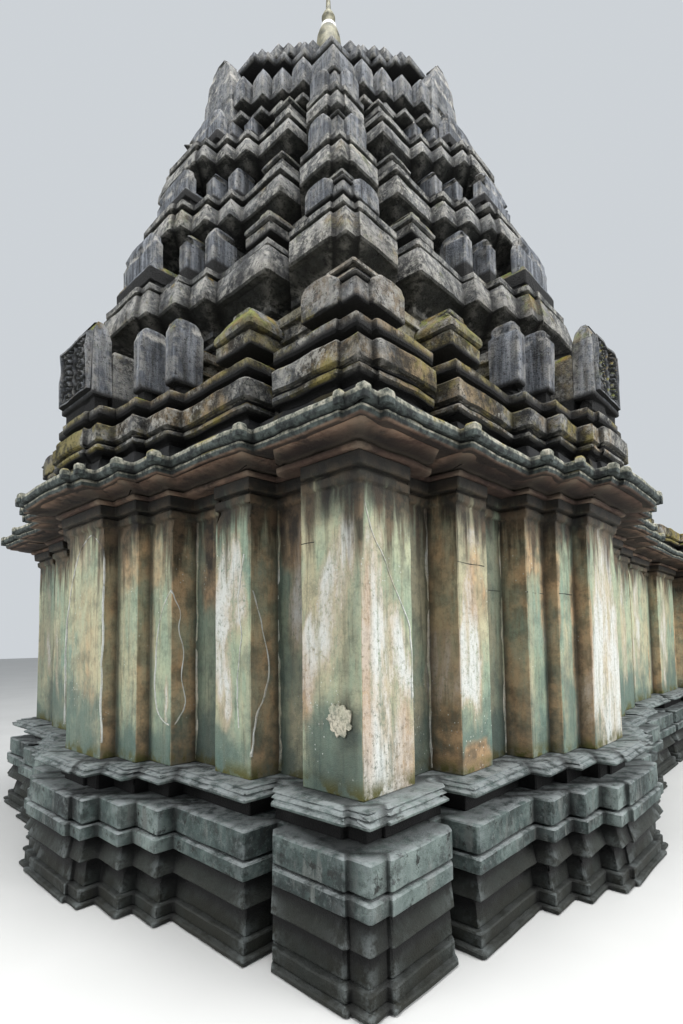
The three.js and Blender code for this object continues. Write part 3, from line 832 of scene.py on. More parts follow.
class Shader:
    """A material whose colour is laid on in coats, with short ways to add its nodes."""

    def __init__(self, name):
        self.material = bpy.data.materials.new(name)
        self.material.use_nodes = True
        self.tree = self.material.node_tree
        self.tree.nodes.clear()
        self.place = self.node("ShaderNodeTexCoord").outputs["Object"]
        self.colour = None

    def node(self, kind, **settings):
        """Adds a node of a kind."""
        made = self.tree.nodes.new(kind)
        for key, value in settings.items():
            setattr(made, key, value)
        return made

    def put(self, value, socket):
        """Joins a node's result to a socket, or writes a plain value into it."""
        if isinstance(value, bpy.types.NodeSocket):
            self.tree.links.new(value, socket)
        else:
            socket.default_value = value

    def noise(self, scale, detail=4, rough=0.6, stretch=None, distortion=0.0):
        """Cloudy noise about 0.5, finer with a larger scale."""
        made = self.node("ShaderNodeTexNoise")
        place = self.place
        if stretch:
            mapping = self.node("ShaderNodeMapping")
            self.put(place, mapping.inputs["Vector"])
            self.put(stretch, mapping.inputs["Scale"])
            place = mapping.outputs["Vector"]
        self.put(place, made.inputs["Vector"])
        self.put(scale, made.inputs["Scale"])
        self.put(detail, made.inputs["Detail"])
        self.put(rough, made.inputs["Roughness"])
        self.put(distortion, made.inputs["Distortion"])
        return made.outputs["Fac"]

    def cells(self, scale):
        """Distance to the nearest of scattered points."""
        made = self.node("ShaderNodeTexVoronoi")
        self.put(self.place, made.inputs["Vector"])
        self.put(scale, made.inputs["Scale"])
        return made.outputs["Distance"]

    def between(self, value, low, high):
        """Goes smoothly from 0 to 1 as the value goes from low to high."""
        made = self.node("ShaderNodeMapRange", clamp=True, interpolation_type="SMOOTHSTEP")
        self.put(value, made.inputs["Value"])
        self.put(low, made.inputs["From Min"])
        self.put(high, made.inputs["From Max"])
        return made.outputs["Result"]

    def spots(self, low, high, *settings, **stretch):
        """Patches where noise goes from low to high."""
        return self.between(self.noise(*settings, **stretch), low, high)

    def math(self, operation, a, b):
        """One sum on two values."""
        made = self.node("ShaderNodeMath", operation=operation)
        self.put(a, made.inputs[0])
        self.put(b, made.inputs[1])
        return made.outputs[0]

    def times(self, value, *factors):
        """The value and all factors multiplied."""
        for factor in factors:
            value = self.math("MULTIPLY", value, factor)
        return value

    def ragged(self, value, noise, strength):
        """The value, raised and lowered by noise."""
        return self.math("ADD", value, self.times(self.math("SUBTRACT", noise, 0.5), strength))

    def mix(self, share, a, b):
        """Goes from colour a to colour b as the share goes from 0 to 1."""
        made = self.node("ShaderNodeMix", data_type="RGBA")
        self.put(share, made.inputs["Factor"])
        for value, socket in ((a, made.inputs[6]), (b, made.inputs[7])):
            self.put((*value, 1) if isinstance(value, tuple) else value, socket)
        return made.outputs[2]

    def paint(self, colour, *shares):
        """Lays a coat over the colour, as thick as its shares multiplied."""
        self.colour = self.mix(self.times(*shares), self.colour, colour)

    def ramp(self, value, *stops):
        """Colour by value, from stops of (value, colour)."""
        made = self.node("ShaderNodeValToRGB")
        elements = made.color_ramp.elements
        while len(elements) < len(stops):
            elements.new(0.5)
        for element, (at, colour) in zip(elements, stops):
            element.position = at
            element.color = (*colour, 1)
        self.put(value, made.inputs["Fac"])
        return made.outputs["Color"]

    def painted(self, name):
        """One of the marks on the points."""
        return self.node("ShaderNodeAttribute", attribute_name=name).outputs["Fac"]

    def upright(self, vector):
        """The part of a vector that points up."""
        parts = self.node("ShaderNodeSeparateXYZ")
        self.put(vector, parts.inputs[0])
        return parts.outputs["Z"]

    def level(self):
        """Height above the ground in metres."""
        return self.upright(self.place)

    def facing_up(self):
        """From -1 on an underside to 1 on a level top."""
        return self.upright(self.node("ShaderNodeNewGeometry").outputs["Normal"])

    def blacken_dirt_and_shade(self, amount=1.0):
        """Blackens the colour where the points are marked dark: painted shade, and dark cracks."""
        self.paint((0.006, 0.006, 0.006), self.between(self.painted("grime"), 0.15, 0.95), amount)

    def finish(self, roughness, height, strength, distance, metallic=0.0):
        """Ends the material, with a surface that rises and falls with the height."""
        bump = self.node("ShaderNodeBump")
        self.put(strength, bump.inputs["Strength"])
        self.put(distance, bump.inputs["Distance"])
        self.put(height, bump.inputs["Height"])
        shader = self.node("ShaderNodeBsdfPrincipled")
        self.put(self.colour, shader.inputs["Base Color"])
        self.put(roughness, shader.inputs["Roughness"])
        self.put(bump.outputs["Normal"], shader.inputs["Normal"])
        self.put(metallic, shader.inputs["Metallic"])
        self.put(0.3, shader.inputs["Specular IOR Level"])
        output = self.node("ShaderNodeOutputMaterial")
        self.put(shader.outputs["BSDF"], output.inputs["Surface"])
        return self.material


def base_stone():
    """Dark slate-green stone with dusty light tops, a mossy foot and painted shade low down."""
    s = Shader("plinth_stone")
    s.colour = s.ramp(s.noise(1.4, 7, 0.65), (0.38, (0.010, 0.015, 0.015)), (0.5, (0.052, 0.074, 0.069)),
                      (0.62, (0.17, 0.21, 0.195)))
    grain = s.noise(26, 6, 0.75)
    s.paint((0.016, 0.019, 0.018), s.spots(0.52, 0.40, 7, 8, 0.75), 0.6)
    s.paint((0.11, 0.12, 0.112), s.spots(0.52, 0.72, 9, 5, 0.6, stretch=(1.5, 1.5, 0.35)))
    s.paint((0.16, 0.18, 0.175), s.between(grain, 0.5, 0.8))
    s.paint((0.018, 0.020, 0.018), s.spots(0.56, 0.66, 15, 5, 0.7))
    s.paint((0.030, 0.028, 0.015), s.between(s.level(), 0.42, 0.12), s.spots(0.35, 0.6, 4, 5))
    s.paint((0.25, 0.27, 0.27), s.between(s.facing_up(), 0.35, 0.95), s.spots(0.36, 0.6, 11, 7, 0.7), 0.8)
    # Painted shade: the lowest part of the plinth is much darker.
    s.paint((0.012, 0.013, 0.010), s.between(s.level(), 0.43, 0.36), 0.88)
    s.paint((0.20, 0.225, 0.225), s.painted("worn"), s.spots(0.42, 0.6, 14, 6, 0.7), 0.7)
    # Painted shade where the points are marked dark.
    s.blacken_dirt_and_shade()
    return s.finish(0.78, s.math("ADD", grain, s.noise(120, 3, 0.6)), 0.7, 0.014)


def wall_stone():
    """Green soapstone with brown streaks, rusty stains and flaking limewash."""
    s = Shader("wall_stone")
    s.colour = s.ramp(s.noise(1.3, 6), (0.34, (0.16, 0.25, 0.20)), (0.5, (0.27, 0.335, 0.235)),
                      (0.66, (0.46, 0.47, 0.31)))
    grain = s.noise(45, 6, 0.7)
    streak = s.noise(8, 5, 0.6, stretch=(1.4, 1.4, 0.14))
    fine = s.noise(22, 7, 0.7, stretch=(1.4, 1.4, 0.12))
    s.paint((0.34, 0.36, 0.27), s.spots(0.46, 0.62, 30, 7, 0.75), 0.3)
    s.paint((0.30, 0.26, 0.165), s.between(streak, 0.46, 0.66), 0.6)
    s.paint((0.47, 0.41, 0.26), s.spots(0.46, 0.62, 1.9, 7, 0.65, stretch=(1.2, 1.2, 0.6)), 0.75)
    s.paint((0.36, 0.35, 0.27), s.between(fine, 0.48, 0.66), 0.3)
    s.paint((0.05, 0.062, 0.04), s.between(fine, 0.48, 0.36), 0.42)
    s.paint((0.055, 0.070, 0.055), s.spots(0.52, 0.36, 7, 9, 0.72), 0.40)
    low = s.ragged(s.level(), s.noise(1.7, 5), 2.4)
    s.paint((0.062, 0.105, 0.095), s.between(low, 1.5, 0.95), 0.75)
    stain = s.ragged(s.painted("stain"), s.noise(5, 7, 0.65, stretch=(1.3, 1.3, 0.45)), 1.8)
    rust = s.mix(s.spots(0.36, 0.64, 9, 5), (0.15, 0.095, 0.050), (0.50, 0.31, 0.16))
    s.paint(rust, s.between(stain, 0.2, 1.1), 0.85)
    flakes = s.noise(4.2, 9, 0.68, stretch=(1.25, 1.25, 0.42), distortion=0.4)
    wash = s.ragged(s.painted("wash"), flakes, 3.4)
    lime = s.mix(s.between(wash, 0.6, 1.5), (0.44, 0.35, 0.24), (0.56, 0.57, 0.54))
    lime = s.mix(s.times(s.painted("stain"), 0.6), lime, (0.36, 0.23, 0.13))
    cover = s.times(s.between(wash, 0.25, 1.5), s.between(grain, 0.30, 0.50),
                    s.math("ADD", 0.65, s.between(fine, 0.38, 0.58)),
                    s.between(s.painted("wash"), 0.02, 0.35))
    cover = s.math("MINIMUM", cover, 1.0)
    s.paint(lime, cover, 0.94)
    s.paint((0.52, 0.55, 0.50), s.between(s.cells(30), 0.16, 0.08), s.spots(0.52, 0.60, 2.2, 3))
    s.paint((0.05, 0.055, 0.042), s.spots(0.52, 0.38, 38, 8, 0.8), 0.26)
    # Darker, then browner, towards the tops of the walls under the eave, with streaky edges.
    streaky_height = s.ragged(s.level(), streak, 1.3)
    s.paint((0.030, 0.034, 0.025), s.between(streaky_height, 2.08, 2.46), 0.7)
    brown = s.mix(s.spots(0.40, 0.60, 9, 7, 0.7), (0.022, 0.015, 0.009), (0.125, 0.080, 0.046))
    s.paint(brown, s.between(streaky_height, 2.20, 2.46), 0.75)
    s.paint((0.085, 0.082, 0.022), s.between(s.level(), 0.96, 0.85), s.spots(0.42, 0.58, 9, 5))
    crust = s.mix(s.between(grain, 0.40, 0.56), (0.20, 0.19, 0.15), (0.50, 0.455, 0.36))
    s.paint(crust, s.painted("pale"))
    # Painted shade, and dark cracks, where the points are marked dark.
    s.blacken_dirt_and_shade(0.9)
    height = s.math("ADD", grain, s.noise(140, 2, 0.6))
    return s.finish(0.72, s.math("ADD", height, s.times(cover, 0.8)), 0.55, 0.008)


def eave_stone():
    """Reddish brown soffit, a dark rim with pale edges, dark and mossy on top, with painted shade."""
    s = Shader("eave_stone")
    level = s.painted("course")
    s.colour = s.ramp(s.noise(3.4, 8, 0.7), (0.40, (0.036, 0.023, 0.017)), (0.5, (0.14, 0.082, 0.055)),
                      (0.60, (0.25, 0.16, 0.11)))
    s.paint((0.26, 0.185, 0.135), s.spots(0.44, 0.60, 24, 8, 0.75), 0.45)
    s.paint((0.060, 0.032, 0.026), s.spots(0.50, 0.53, 1.3, 1), s.between(level, 2.652, 2.648), 0.6)
    # The architrave's worn edges are painted lighter: edge wear and a painted highlight.
    s.paint((0.42, 0.34, 0.25), s.painted("worn"), s.between(level, 2.650, 2.640), 0.8)
    speckle = s.noise(19, 8, 0.75)
    pale = s.ramp(speckle, (0.40, (0.030, 0.034, 0.030)), (0.5, (0.15, 0.155, 0.125)),
                  (0.60, (0.34, 0.32, 0.26)))
    dark = s.ramp(speckle, (0.42, (0.012, 0.015, 0.015)), (0.62, (0.075, 0.092, 0.085)))
    top = s.ramp(s.noise(5, 7, 0.7), (0.36, (0.014, 0.016, 0.018)), (0.64, (0.085, 0.09, 0.095)))
    for colour, low, high in (
        (dark, 2.6450, 2.6570),
        (pale, 2.6700, 2.6740),
        (dark, 2.6870, 2.6900),
        (pale, 2.7220, 2.7300),
        (top, 2.7640, 2.7720),
    ):
        s.paint(colour, s.between(level, low, high))
    s.paint((0.20, 0.16, 0.035), s.between(s.facing_up(), 0.0, 0.5), s.spots(0.55, 0.63, 3.2, 6), 0.75)
    # Painted shade where the points are marked dark.
    s.blacken_dirt_and_shade(0.85)
    return s.finish(0.85, s.noise(35, 6, 0.75), 0.8, 0.014)


def tower_stone():
    """Charcoal stone: rough with pale lichen and ochre moss, or smooth and bluish."""
    s = Shader("tower_stone")
    patchy = s.noise(4.5, 9, 0.75)
    s.colour = s.ramp(patchy, (0.40, (0.012, 0.013, 0.014)), (0.5, (0.064, 0.067, 0.069)),
                      (0.60, (0.215, 0.215, 0.205)))
    ochre = s.mix(s.between(patchy, 0.42, 0.58), (0.028, 0.020, 0.009), (0.21, 0.145, 0.070))
    s.paint(ochre, s.between(s.level(), 4.4, 3.2), s.spots(0.44, 0.54, 1.3, 7, 0.7), 0.85)
    s.paint((0.34, 0.33, 0.295), s.spots(0.48, 0.58, 17, 9, 0.78), s.spots(0.34, 0.56, 2.1, 4), 0.8)
    smooth = s.ramp(s.noise(15, 6, 0.65, stretch=(1.3, 1.3, 0.13)), (0.36, (0.014, 0.016, 0.020)),
                    (0.5, (0.075, 0.084, 0.100)), (0.64, (0.20, 0.215, 0.24)))
    s.paint(smooth, s.painted("tone"))
    # Painted shade: undersides are darker.
    s.paint((0.020, 0.021, 0.017), s.between(s.facing_up(), -0.15, -0.7), 0.82)
    s.paint((0.38, 0.365, 0.33), s.painted("worn"), s.spots(0.42, 0.6, 12, 6, 0.7), 0.85)
    film = s.mix(s.between(patchy, 0.44, 0.56), (0.030, 0.024, 0.005), (0.20, 0.165, 0.040))
    s.paint(film, s.between(s.level(), 4.1, 3.2), s.spots(0.49, 0.57, 1.5, 8, 0.72),
            s.between(s.painted("tone"), 0.55, 0.3), 0.8)
    coverage = s.times(s.between(s.facing_up(), -0.1, 0.6), s.spots(0.53, 0.61, 1.9, 7, 0.68),
                   s.between(s.level(), 5.6, 4.2))
    thick = s.times(s.painted("moss"), s.spots(0.42, 0.56, 6, 7, 0.7), s.between(s.facing_up(), -0.4, 0.3))
    moss = s.math("MAXIMUM", coverage, thick)
    s.paint(s.mix(s.spots(0.42, 0.58, 7, 4), (0.20, 0.13, 0.018), (0.15, 0.17, 0.018)), moss)
    s.paint((0.008, 0.008, 0.008), s.spots(0.46, 0.36, 42, 5, 0.75), 0.8)
    # Painted shade where the points are marked dark.
    s.blacken_dirt_and_shade()
    height = s.math("ADD", s.noise(30, 6, 0.75), s.noise(110, 3, 0.6))
    return s.finish(0.86, s.math("ADD", height, s.times(moss, 2.0)), 0.9, 0.018)


def aged_brass():
    """Dull greenish yellow metal with a pale ring."""
    s = Shader("finial_metal")
    s.colour = s.ramp(s.noise(14, 5), (0.36, (0.030, 0.030, 0.018)), (0.5, (0.085, 0.080, 0.050)),
                      (0.66, (0.16, 0.15, 0.10)))
    s.paint((0.55, 0.55, 0.52), s.between(s.level(), 8.836, 8.840), s.between(s.level(), 8.886, 8.882))
    return s.finish(0.6, s.noise(60, 4), 0.3, 0.004, metallic=0.15)


def add_courses(outlines, materials):
    """The plinth, the eave and the first roof courses, right round the building."""
    for number, (name, (laying, profile)) in enumerate(COURSES.items()):
        kind, slot, wear = LAYINGS[laying]
        above = [point for _, other in list(COURSES.values())[number + 1:] for point in other]
        # Each course is painted with shade under the courses above it and in its shaded bands.
        parts = [body(outlines[kind], profile, 45, 45, joints=COURSE_BLOCKS, seed=10 * number + 1,
                      cover=above, shade_bands=DARK_RECESSES.get(name, ()), **wear)]
        if name == "eave":
            parts += eave_ribs(outlines["eave"])
        if name == "upper_roof_blocks":
            parts += roof_slabs()
        make_piece(f"{name}_stones", parts, materials, slot, name)


def eave_ribs(outline):
    """Small raised ribs on the eave's rim, at the sanctum's corners that stand out."""
    rng = random.Random(61)
    parts = []
    for number, spot, way in outer_corners(outline):
        if spot[0] > RIB_LAST:
            continue
        x, y = spot + RIB_OUT * way
        half = rng.uniform(*RIB_HALF)
        parts.append(body(square(x, y, half), RIB, 30, 30, bevel=5, lead=6, seed=70 + number))
    return parts


def roof_slabs():
    """Rows of flat stones on the roofs of the vestibule and the hall."""
    rng = random.Random(83)
    parts = []
    for start, end, half in FLAT_ROOFS:
        rows = round((end - start) / ROOF_ROW)
        for row in range(rows):
            low = start + (end - start) * row / rows
            high = start + (end - start) * (row + 1) / rows - ROOF_JOINT
            y = -half
            while y < half:
                following = y + rng.uniform(*ROOF_STONES)
                if following > half - SHORTEST_END:
                    following = half
                profile = [(ROOF_TOP - 30, 0), (ROOF_TOP + rng.uniform(*ROOF_STONE_TOP), 0)]
                area = rectangle(low, high, y, following - ROOF_JOINT)
                parts.append(body(area, profile, 130, 130, bevel=8, seed=rng.randrange(10 ** 6), uneven=3))
                y = following
    return parts


def patched(along, height, patches):
    """Strength of the patches at places on one side of the building."""
    total = np.zeros(len(along))
    for centre, level, wide, tall, lean, strength in patches:
        rise = (height - level) / tall
        off = (along - centre - lean * (height - level)) / (wide * (1 - 0.35 * np.clip(rise, -1, 1)))
        total += strength * np.clip(1.35 - np.abs(off) ** 2.6 - np.abs(rise) ** 2.6, 0, 1)
    return np.clip(total, 0, 1.3)


def paint_wall(part):
    """Marks for limewash, stains and dark patches, with painted shade in the recesses. The unseen sides
    repeat the seen ones.
    """
    points = part.points.copy()
    points[:, :2] -= 0.5 * part.normal
    x, y, z = points.T
    to_west = (np.abs(x) > np.abs(y)) & (x < CORNER)
    across = np.where(to_west, np.abs(part.normal[:, 1]), np.abs(part.normal[:, 0])) > 0.8
    wash, stain, coverage = (
        np.where(to_west, patched(y, z, patches["west"]), patched(x, z, patches["south"]))
        for patches in (WASHES, STAINS, DARK_PATCHES)
    )
    part.marks["wash"] = wash * np.where(across, 0.75, 1)
    part.marks["stain"] = np.maximum(stain, 0.7 * across)
    # Painted shade on the walls of the recesses, added to the dark patches.
    plane = np.maximum(np.abs(x), np.abs(y))
    deep = (np.abs(plane - CORE) < 12) | (np.abs(plane - INNER_RECESS) < 12)
    coverage *= 1 + 0.5 * noise(points * np.array([1, 1, 0.3]), 90, 31)
    coverage = np.maximum(coverage, 0.62 * (deep & (x < CORNER)))
    part.marks["grime"] = np.maximum(part.marks["grime"], coverage)
    return part


def add_walls(outline, materials):
    """The walls and lintels, cut out of one outline."""
    cover = COURSES["architrave"][1] + COURSES["eave"][1]
    fresh = itertools.count(200)
    for name, start, end, half, low in WALLS:
        areas = {name: (-half, half)}
        if "{}" in name:
            areas = {name.format("south"): (-FAR, -half), name.format("north"): (half, FAR)}
        for wall, across in areas.items():
            area = clipped(outline, start, end, *across)
            # The wall tops are painted with shade under the architrave and the eave.
            part = body(area, [(low, 0), *CAPITAL], 40, 55, lead=30, wear=0.7, uneven=0, cover=cover,
                        softness=2.0, seed=next(fresh))
            make_piece(f"{wall}_stones", [paint_wall(part)], materials, "wall_stone", wall)


def strip(side, plane, width, path, seed, proud=4, mark="wash", strength=1.5):
    """A thin raised line on a wall face, through points of distance along and height."""
    path = np.array(path, float)
    lengths = np.concatenate([[0], np.cumsum(np.hypot(*np.diff(path, axis=0).T))])
    marks = np.arange(0, lengths[-1], 28)
    line = np.column_stack([np.interp(marks, lengths, path[:, k]) for k in (0, 1)])
    for _ in range(6):
        line[1:-1] = 0.5 * line[1:-1] + 0.25 * (line[:-2] + line[2:])
    spots = np.column_stack([line, np.zeros(len(line))])
    line[:, 0] += 13 * noise(spots, 150, seed) + 6 * noise(spots, 50, seed + 1)
    run = np.gradient(line, axis=0)
    run /= np.hypot(*run.T)[:, None]
    half = 0.5 * width * (1 + 0.8 * noise(spots, 70, seed + 2))[:, None]
    across = np.stack([-run[:, 1], run[:, 0]], axis=1) * half
    along, front = (np.array(v, float) for v in SIDES[side])
    rows = []
    for offset, depth in ((-across, -6), (-0.5 * across, proud), (0.5 * across, proud), (across, -6)):
        spot = line + offset
        flat = spot[:, :1] * along[None, :] + (plane + depth) * front[None, :]
        rows.append(np.column_stack([flat, spot[:, 1]]))
    points = np.stack(rows, axis=1).reshape(-1, 3)
    faces = ring_faces(len(line), len(rows))
    if side == "west":
        faces = [face[::-1] for face in faces]
    return Part(points, faces, {mark: np.full(len(points), strength)})


def lichen_disc(side, plane, centre, radius, seed):
    """A flat crust of lichen with a ragged edge."""
    angles = np.linspace(0, 2 * math.pi, 44, endpoint=False)
    ring = np.column_stack([np.cos(angles), np.sin(angles)])
    spots = np.column_stack([ring * 200, np.zeros(len(ring))])
    reach = radius * (1 + 0.25 * noise(spots, 80, seed) + 0.14 * noise(spots, 30, seed + 1))
    rows = [(1, -8), (0.97, 3), (0.85, 6), (0.6, 7), (0.3, 7), (0.05, 7)]
    points = np.vstack([
        np.column_stack([ring * (share * reach)[:, None] + centre, np.full(len(ring), height)])
        for share, height in rows
    ])
    marks = {"pale": np.clip(0.75 + 0.7 * noise(points, 26, seed + 2), 0.1, 1)}
    along, front = SIDES[side]
    origin = tuple((plane + 4) * f for f in front)
    return stood(Part(points, ring_faces(len(rows), len(ring)), marks), origin, along, front)


def add_lime(materials):
    """Lines, joints and crusts of lime on the two sides that show them."""
    parts = [strip(*line, 300 + 5 * number) for number, line in enumerate(LIME_LINES)]
    for number, (side, along) in enumerate(MORTAR_JOINTS):
        plane = CORE if abs(along) > PILASTER_INNER else INNER_RECESS
        path = [(along, FLOOR + 20), (along, 1500), (along, 2100), (along, WALL_TOP - 120)]
        parts.append(strip(side, plane, MORTAR_WIDTH, path, 360 + 5 * number, proud=6, strength=0.9))
    for number, line in enumerate(CRACKS):
        parts.append(strip(*line, 440 + 5 * number, proud=1.5, mark="grime", strength=1.0))
    parts.append(lichen_disc(*LICHEN, 430))
    make_piece("wall_lime_lines", parts, materials, "wall_stone")


def add_storey(level, materials):
    """Cornice, slab, band and roof models of one storey."""
    storey = STOREYS[level]
    name = f"storey_{level + 1}"
    seed = 400 + 50 * level
    outline = four_sided(tower_half(storey["scale"], raised=True))
    if level == 0:
        # Its recessed lower part is painted black as shade.
        slab = body(outline, FIRST_SLAB, 45, 40, bevel=12, joints=TOWER_BLOCKS, seed=seed, uneven=8,
                    wave=10, wear=1.6, shade_bands=[(3120, 3228)])
        make_piece(f"{name}_slab_stones", [slab], materials, "tower_stone", f"{name}_slab")
    else:
        parts = shifted(cornice(outline, STOREYS[level - 1]["top"], storey, seed), storey["shift"])
        make_piece(f"{name}_cornice_stones", parts, materials, "tower_stone", f"{name}_cornice")
    parts = shifted(roof_models(level, storey, seed + 10), storey["shift"])
    make_piece(f"{name}_roof_stones", parts, materials, "tower_stone", f"{name}_roofs")


def cornice(outline, below, storey, seed):
    """Neck, lip and slab that carry a storey, with a gap between the last two that is painted black as
    shade.
    """
    rim, rim_top, top = storey["rim"], storey["rim_top"], storey["slab"]
    neck = [(below, NECK[0][1]), *lifted(rim, NECK)]
    lip = [*lifted(rim, LIP), (rim_top, 165)]
    shaded_gap = [(rim_top - 15, 60), (top - 40, 60)]
    return [
        # The neck is darkened, and blackened low down, as painted shade.
        body(outline, neck, 60, 50, seed=seed, grime=0.25, tone=0.35, softness=6,
             shade_bands=[(below - 1, rim - 170)]),
        body(outline, lip, 40, 36, bevel=12, joints=TOWER_BLOCKS, seed=seed + 1, uneven=10, wave=9,
             wear=1.7),
        body(outline, shaded_gap, 90, 90, seed=seed + 2, grime=1.0),
        body(outline, lifted(top, SLAB), 40, 40, joints=TOWER_BLOCKS, seed=seed + 3, uneven=8, wave=6,
             wear=1.5),
    ]


def roof_models(level, storey, seed):
    """The band behind the models, and the models on all four sides."""
    scale = storey["scale"]
    corner = CORNER * scale
    slab, roof, top = storey["slab"], storey["roof"], storey["top"]
    upright = [(slab, 0)]
    for z in np.arange(slab + BAND_START, top - 60, BAND_STEP):
        upright += lifted(z, BAND_RIB)
    upright.append((top, 0))
    core = corner - (CORNER - CORE) - 52
    cores = [(core, core, seed)]
    for number, (half, out) in enumerate(STEPS[1:3], start=1):
        half, plane = half * scale - 30, corner + out - 184
        cores += [(plane, half, seed + number), (half, plane, seed + number)]
    # The band is darkened all over, and blackened below the roof models, as painted shade.
    parts = [body(rectangle(-x, x, -y, y), upright, 90, 60, seed=number, grime=0.3, softness=4,
                  shade_bands=[(slab - 1, roof)]) for x, y, number in cores]
    fresh = itertools.count(seed + 10)
    for turn in range(4):
        models = corner_roof(level, storey, fresh)
        plane = corner + STEPS[0][1]
        inner, outer = PILASTER_INNER * scale, STEPS[0][0] * scale
        for low, high in ((-outer, -inner), (inner, outer)):
            models += side_roof(low, high, plane, roof, top, fresh)
        for half, out in STEPS[1:3]:
            for hand in (-1, 1):
                centre = hand * (half * scale - 50)
                models.append(fin(centre, corner + out, slab, storey["fin"], next(fresh)))
        models += middle_slab(level, storey, next(fresh))
        # Below the roof line the models are blackened as painted shade.
        parts += [turned(darkened(model, roof + 9), turn) for model in models]
    return parts


def corner_roof(level, storey, fresh):
    """Roof model over a corner: an arched lobe on each side of a lower stepped piece."""
    scale, roof, crest = storey["scale"], storey["roof"], storey["lobe"]
    corner = CORNER * scale
    near, far = LOBE_START * scale, LOBE_START + LOBE_WIDTH * scale
    wide, tall = far - near, crest - roof
    arch = [
        (near, roof), (far, roof), (far, roof + 0.72 * tall), (far - 0.13 * wide, crest - 0.06 * tall),
        (far - 0.4 * wide, crest), (near + 0.26 * wide, crest - 0.05 * tall), (near, crest - 0.32 * tall),
    ]
    parts = []
    for along, front in SIDES.values():
        lobe = body(polygon(arch), [(0, 0), (LOBE_DEPTH * scale, 0)], 36, 40, bevel=14, lead=30,
                    tone=0.25 if level == 0 else 0.8, seed=next(fresh), uneven=0, wear=1.4)
        parts.append(stood(lobe, [-corner + (RAISED + 4) * f for f in front], along, front))
    cap = crest - LOBE_RISE
    piece = [(roof, 0), *lifted(cap, STEPPED_PIECE)]
    # The stepped piece is painted darker near its top, as shade under the lobes.
    parts.append(body(corner_square(corner, 0, near + 60), piece, 40, 40, tone=0.5, seed=next(fresh),
                      cover=[(cap, 30)]))
    # The block behind and the top stone are darkened a little as painted shade.
    inner = [(roof, 0), (crest - 40, 0), (crest + 20, -60)]
    parts.append(body(corner_square(corner, 60, 360 * scale), inner, 50, 50, seed=next(fresh), grime=0.3))
    if level < 2:
        stone = lifted(crest - 20, TOP_STONE)
        parts.append(body(corner_square(corner, 88, 400 * scale), stone, 50, 50, seed=next(fresh),
                          grime=0.15))
    return parts


def corner_square(corner, start, end):
    """Square at the tower's corner, between two distances from it."""
    return rectangle(-corner + start, -corner + end, -corner + start, -corner + end)


def side_roof(low, high, plane, roof, top, fresh):
    """Roof model over a pilaster: a block under a small hipped roof."""
    tall = top - roof
    mossy = 0.9 if top < 3800 else 0.35
    deep = rectangle(low, high, -plane, -plane + 430)
    block = [(roof, 0), (roof + 0.34 * tall, 0), (roof + 0.36 * tall, -14), (roof + 0.42 * tall, -14)]
    hip = [(roof + 0.40 * tall, 10), (roof + 0.58 * tall, 14), (top - 34, -52), (top - 6, -66)]
    crest = rectangle(low + 88, high - 88, -plane + 60, -plane + 380)
    parts = [
        body(deep, block, 45, 40, seed=next(fresh), uneven=0, wear=1.3),
        body(deep, hip, 40, 36, bevel=12, seed=next(fresh), wave=7, tone=0.2, wear=1.4),
        body(crest, [(top - 20, 0), (top + 16, -6)], 40, 40, bevel=10, lead=10, seed=next(fresh)),
    ]
    for part in parts:
        part.marks["moss"] = np.clip((part.points[:, 2] - roof) / tall - 0.3, 0, 0.5) * 2 * mossy
    return parts


def fin(centre, plane, bottom, top, seed):
    """Upright stone with a gabled top, standing straight out from the tower."""
    outline = rectangle(centre - FIN_HALF, centre + FIN_HALF, -plane, -plane + FIN_DEPTH, give=(0.34, 1))
    rise = top - bottom
    foot = bottom + FOOT_GAP
    profile = [(bottom, -30), (foot, -30), (foot + 4, -2), (top - 0.17 * rise, 0), (top - 0.13 * rise, -12),
               (top - 0.06 * rise, -22), (top - 0.015 * rise, -52), (top, -84)]
    return body(outline, profile, 32, 36, lead=5, seed=seed, tone=0.9, wear=1.3)


def middle_slab(level, storey, seed):
    """The broad upright slab in the middle of a side, carved on the first storey."""
    plane = CORNER * storey["scale"] + storey["face"]
    bottom, top = storey["slab"], storey["face_top"]
    foot = lifted(bottom, [(0, -25), (FOOT_GAP, -25), (FOOT_GAP + 4, 0)])
    if level == 0:
        front = body(rectangle(-SLAB_HALF, SLAB_HALF, -plane, -plane + 150),
                     foot + lifted(top, CARVED_TOP), 45, 45, seed=seed, tone=0.8)
        behind = body(rectangle(-270, 270, -plane + 150, -plane + SLAB_DEPTH),
                      [(bottom, 0), *lifted(top, BLOCK_TOP)], 45, 45, lead=5, seed=seed + 1, tone=0.3)
        return [front, behind, carved_panel(plane, bottom + 130, top - 110, seed + 2)]
    lower = bottom + 0.45 * (top - bottom)
    front = body(rectangle(-SLAB_HALF, SLAB_HALF, -plane, -plane + SLAB_DEPTH),
                 foot + lifted(lower, LOW_TOP), 45, 45, seed=seed, tone=0.9)
    back = body(rectangle(-280, 280, -plane + 50, -plane + 120, give=(1, 0.2)),
                [(bottom, 0), *lifted(top, THIN_TOP)], 40, 40, lead=5, seed=seed + 1, tone=0.9, wear=1.4)
    return [front, back]


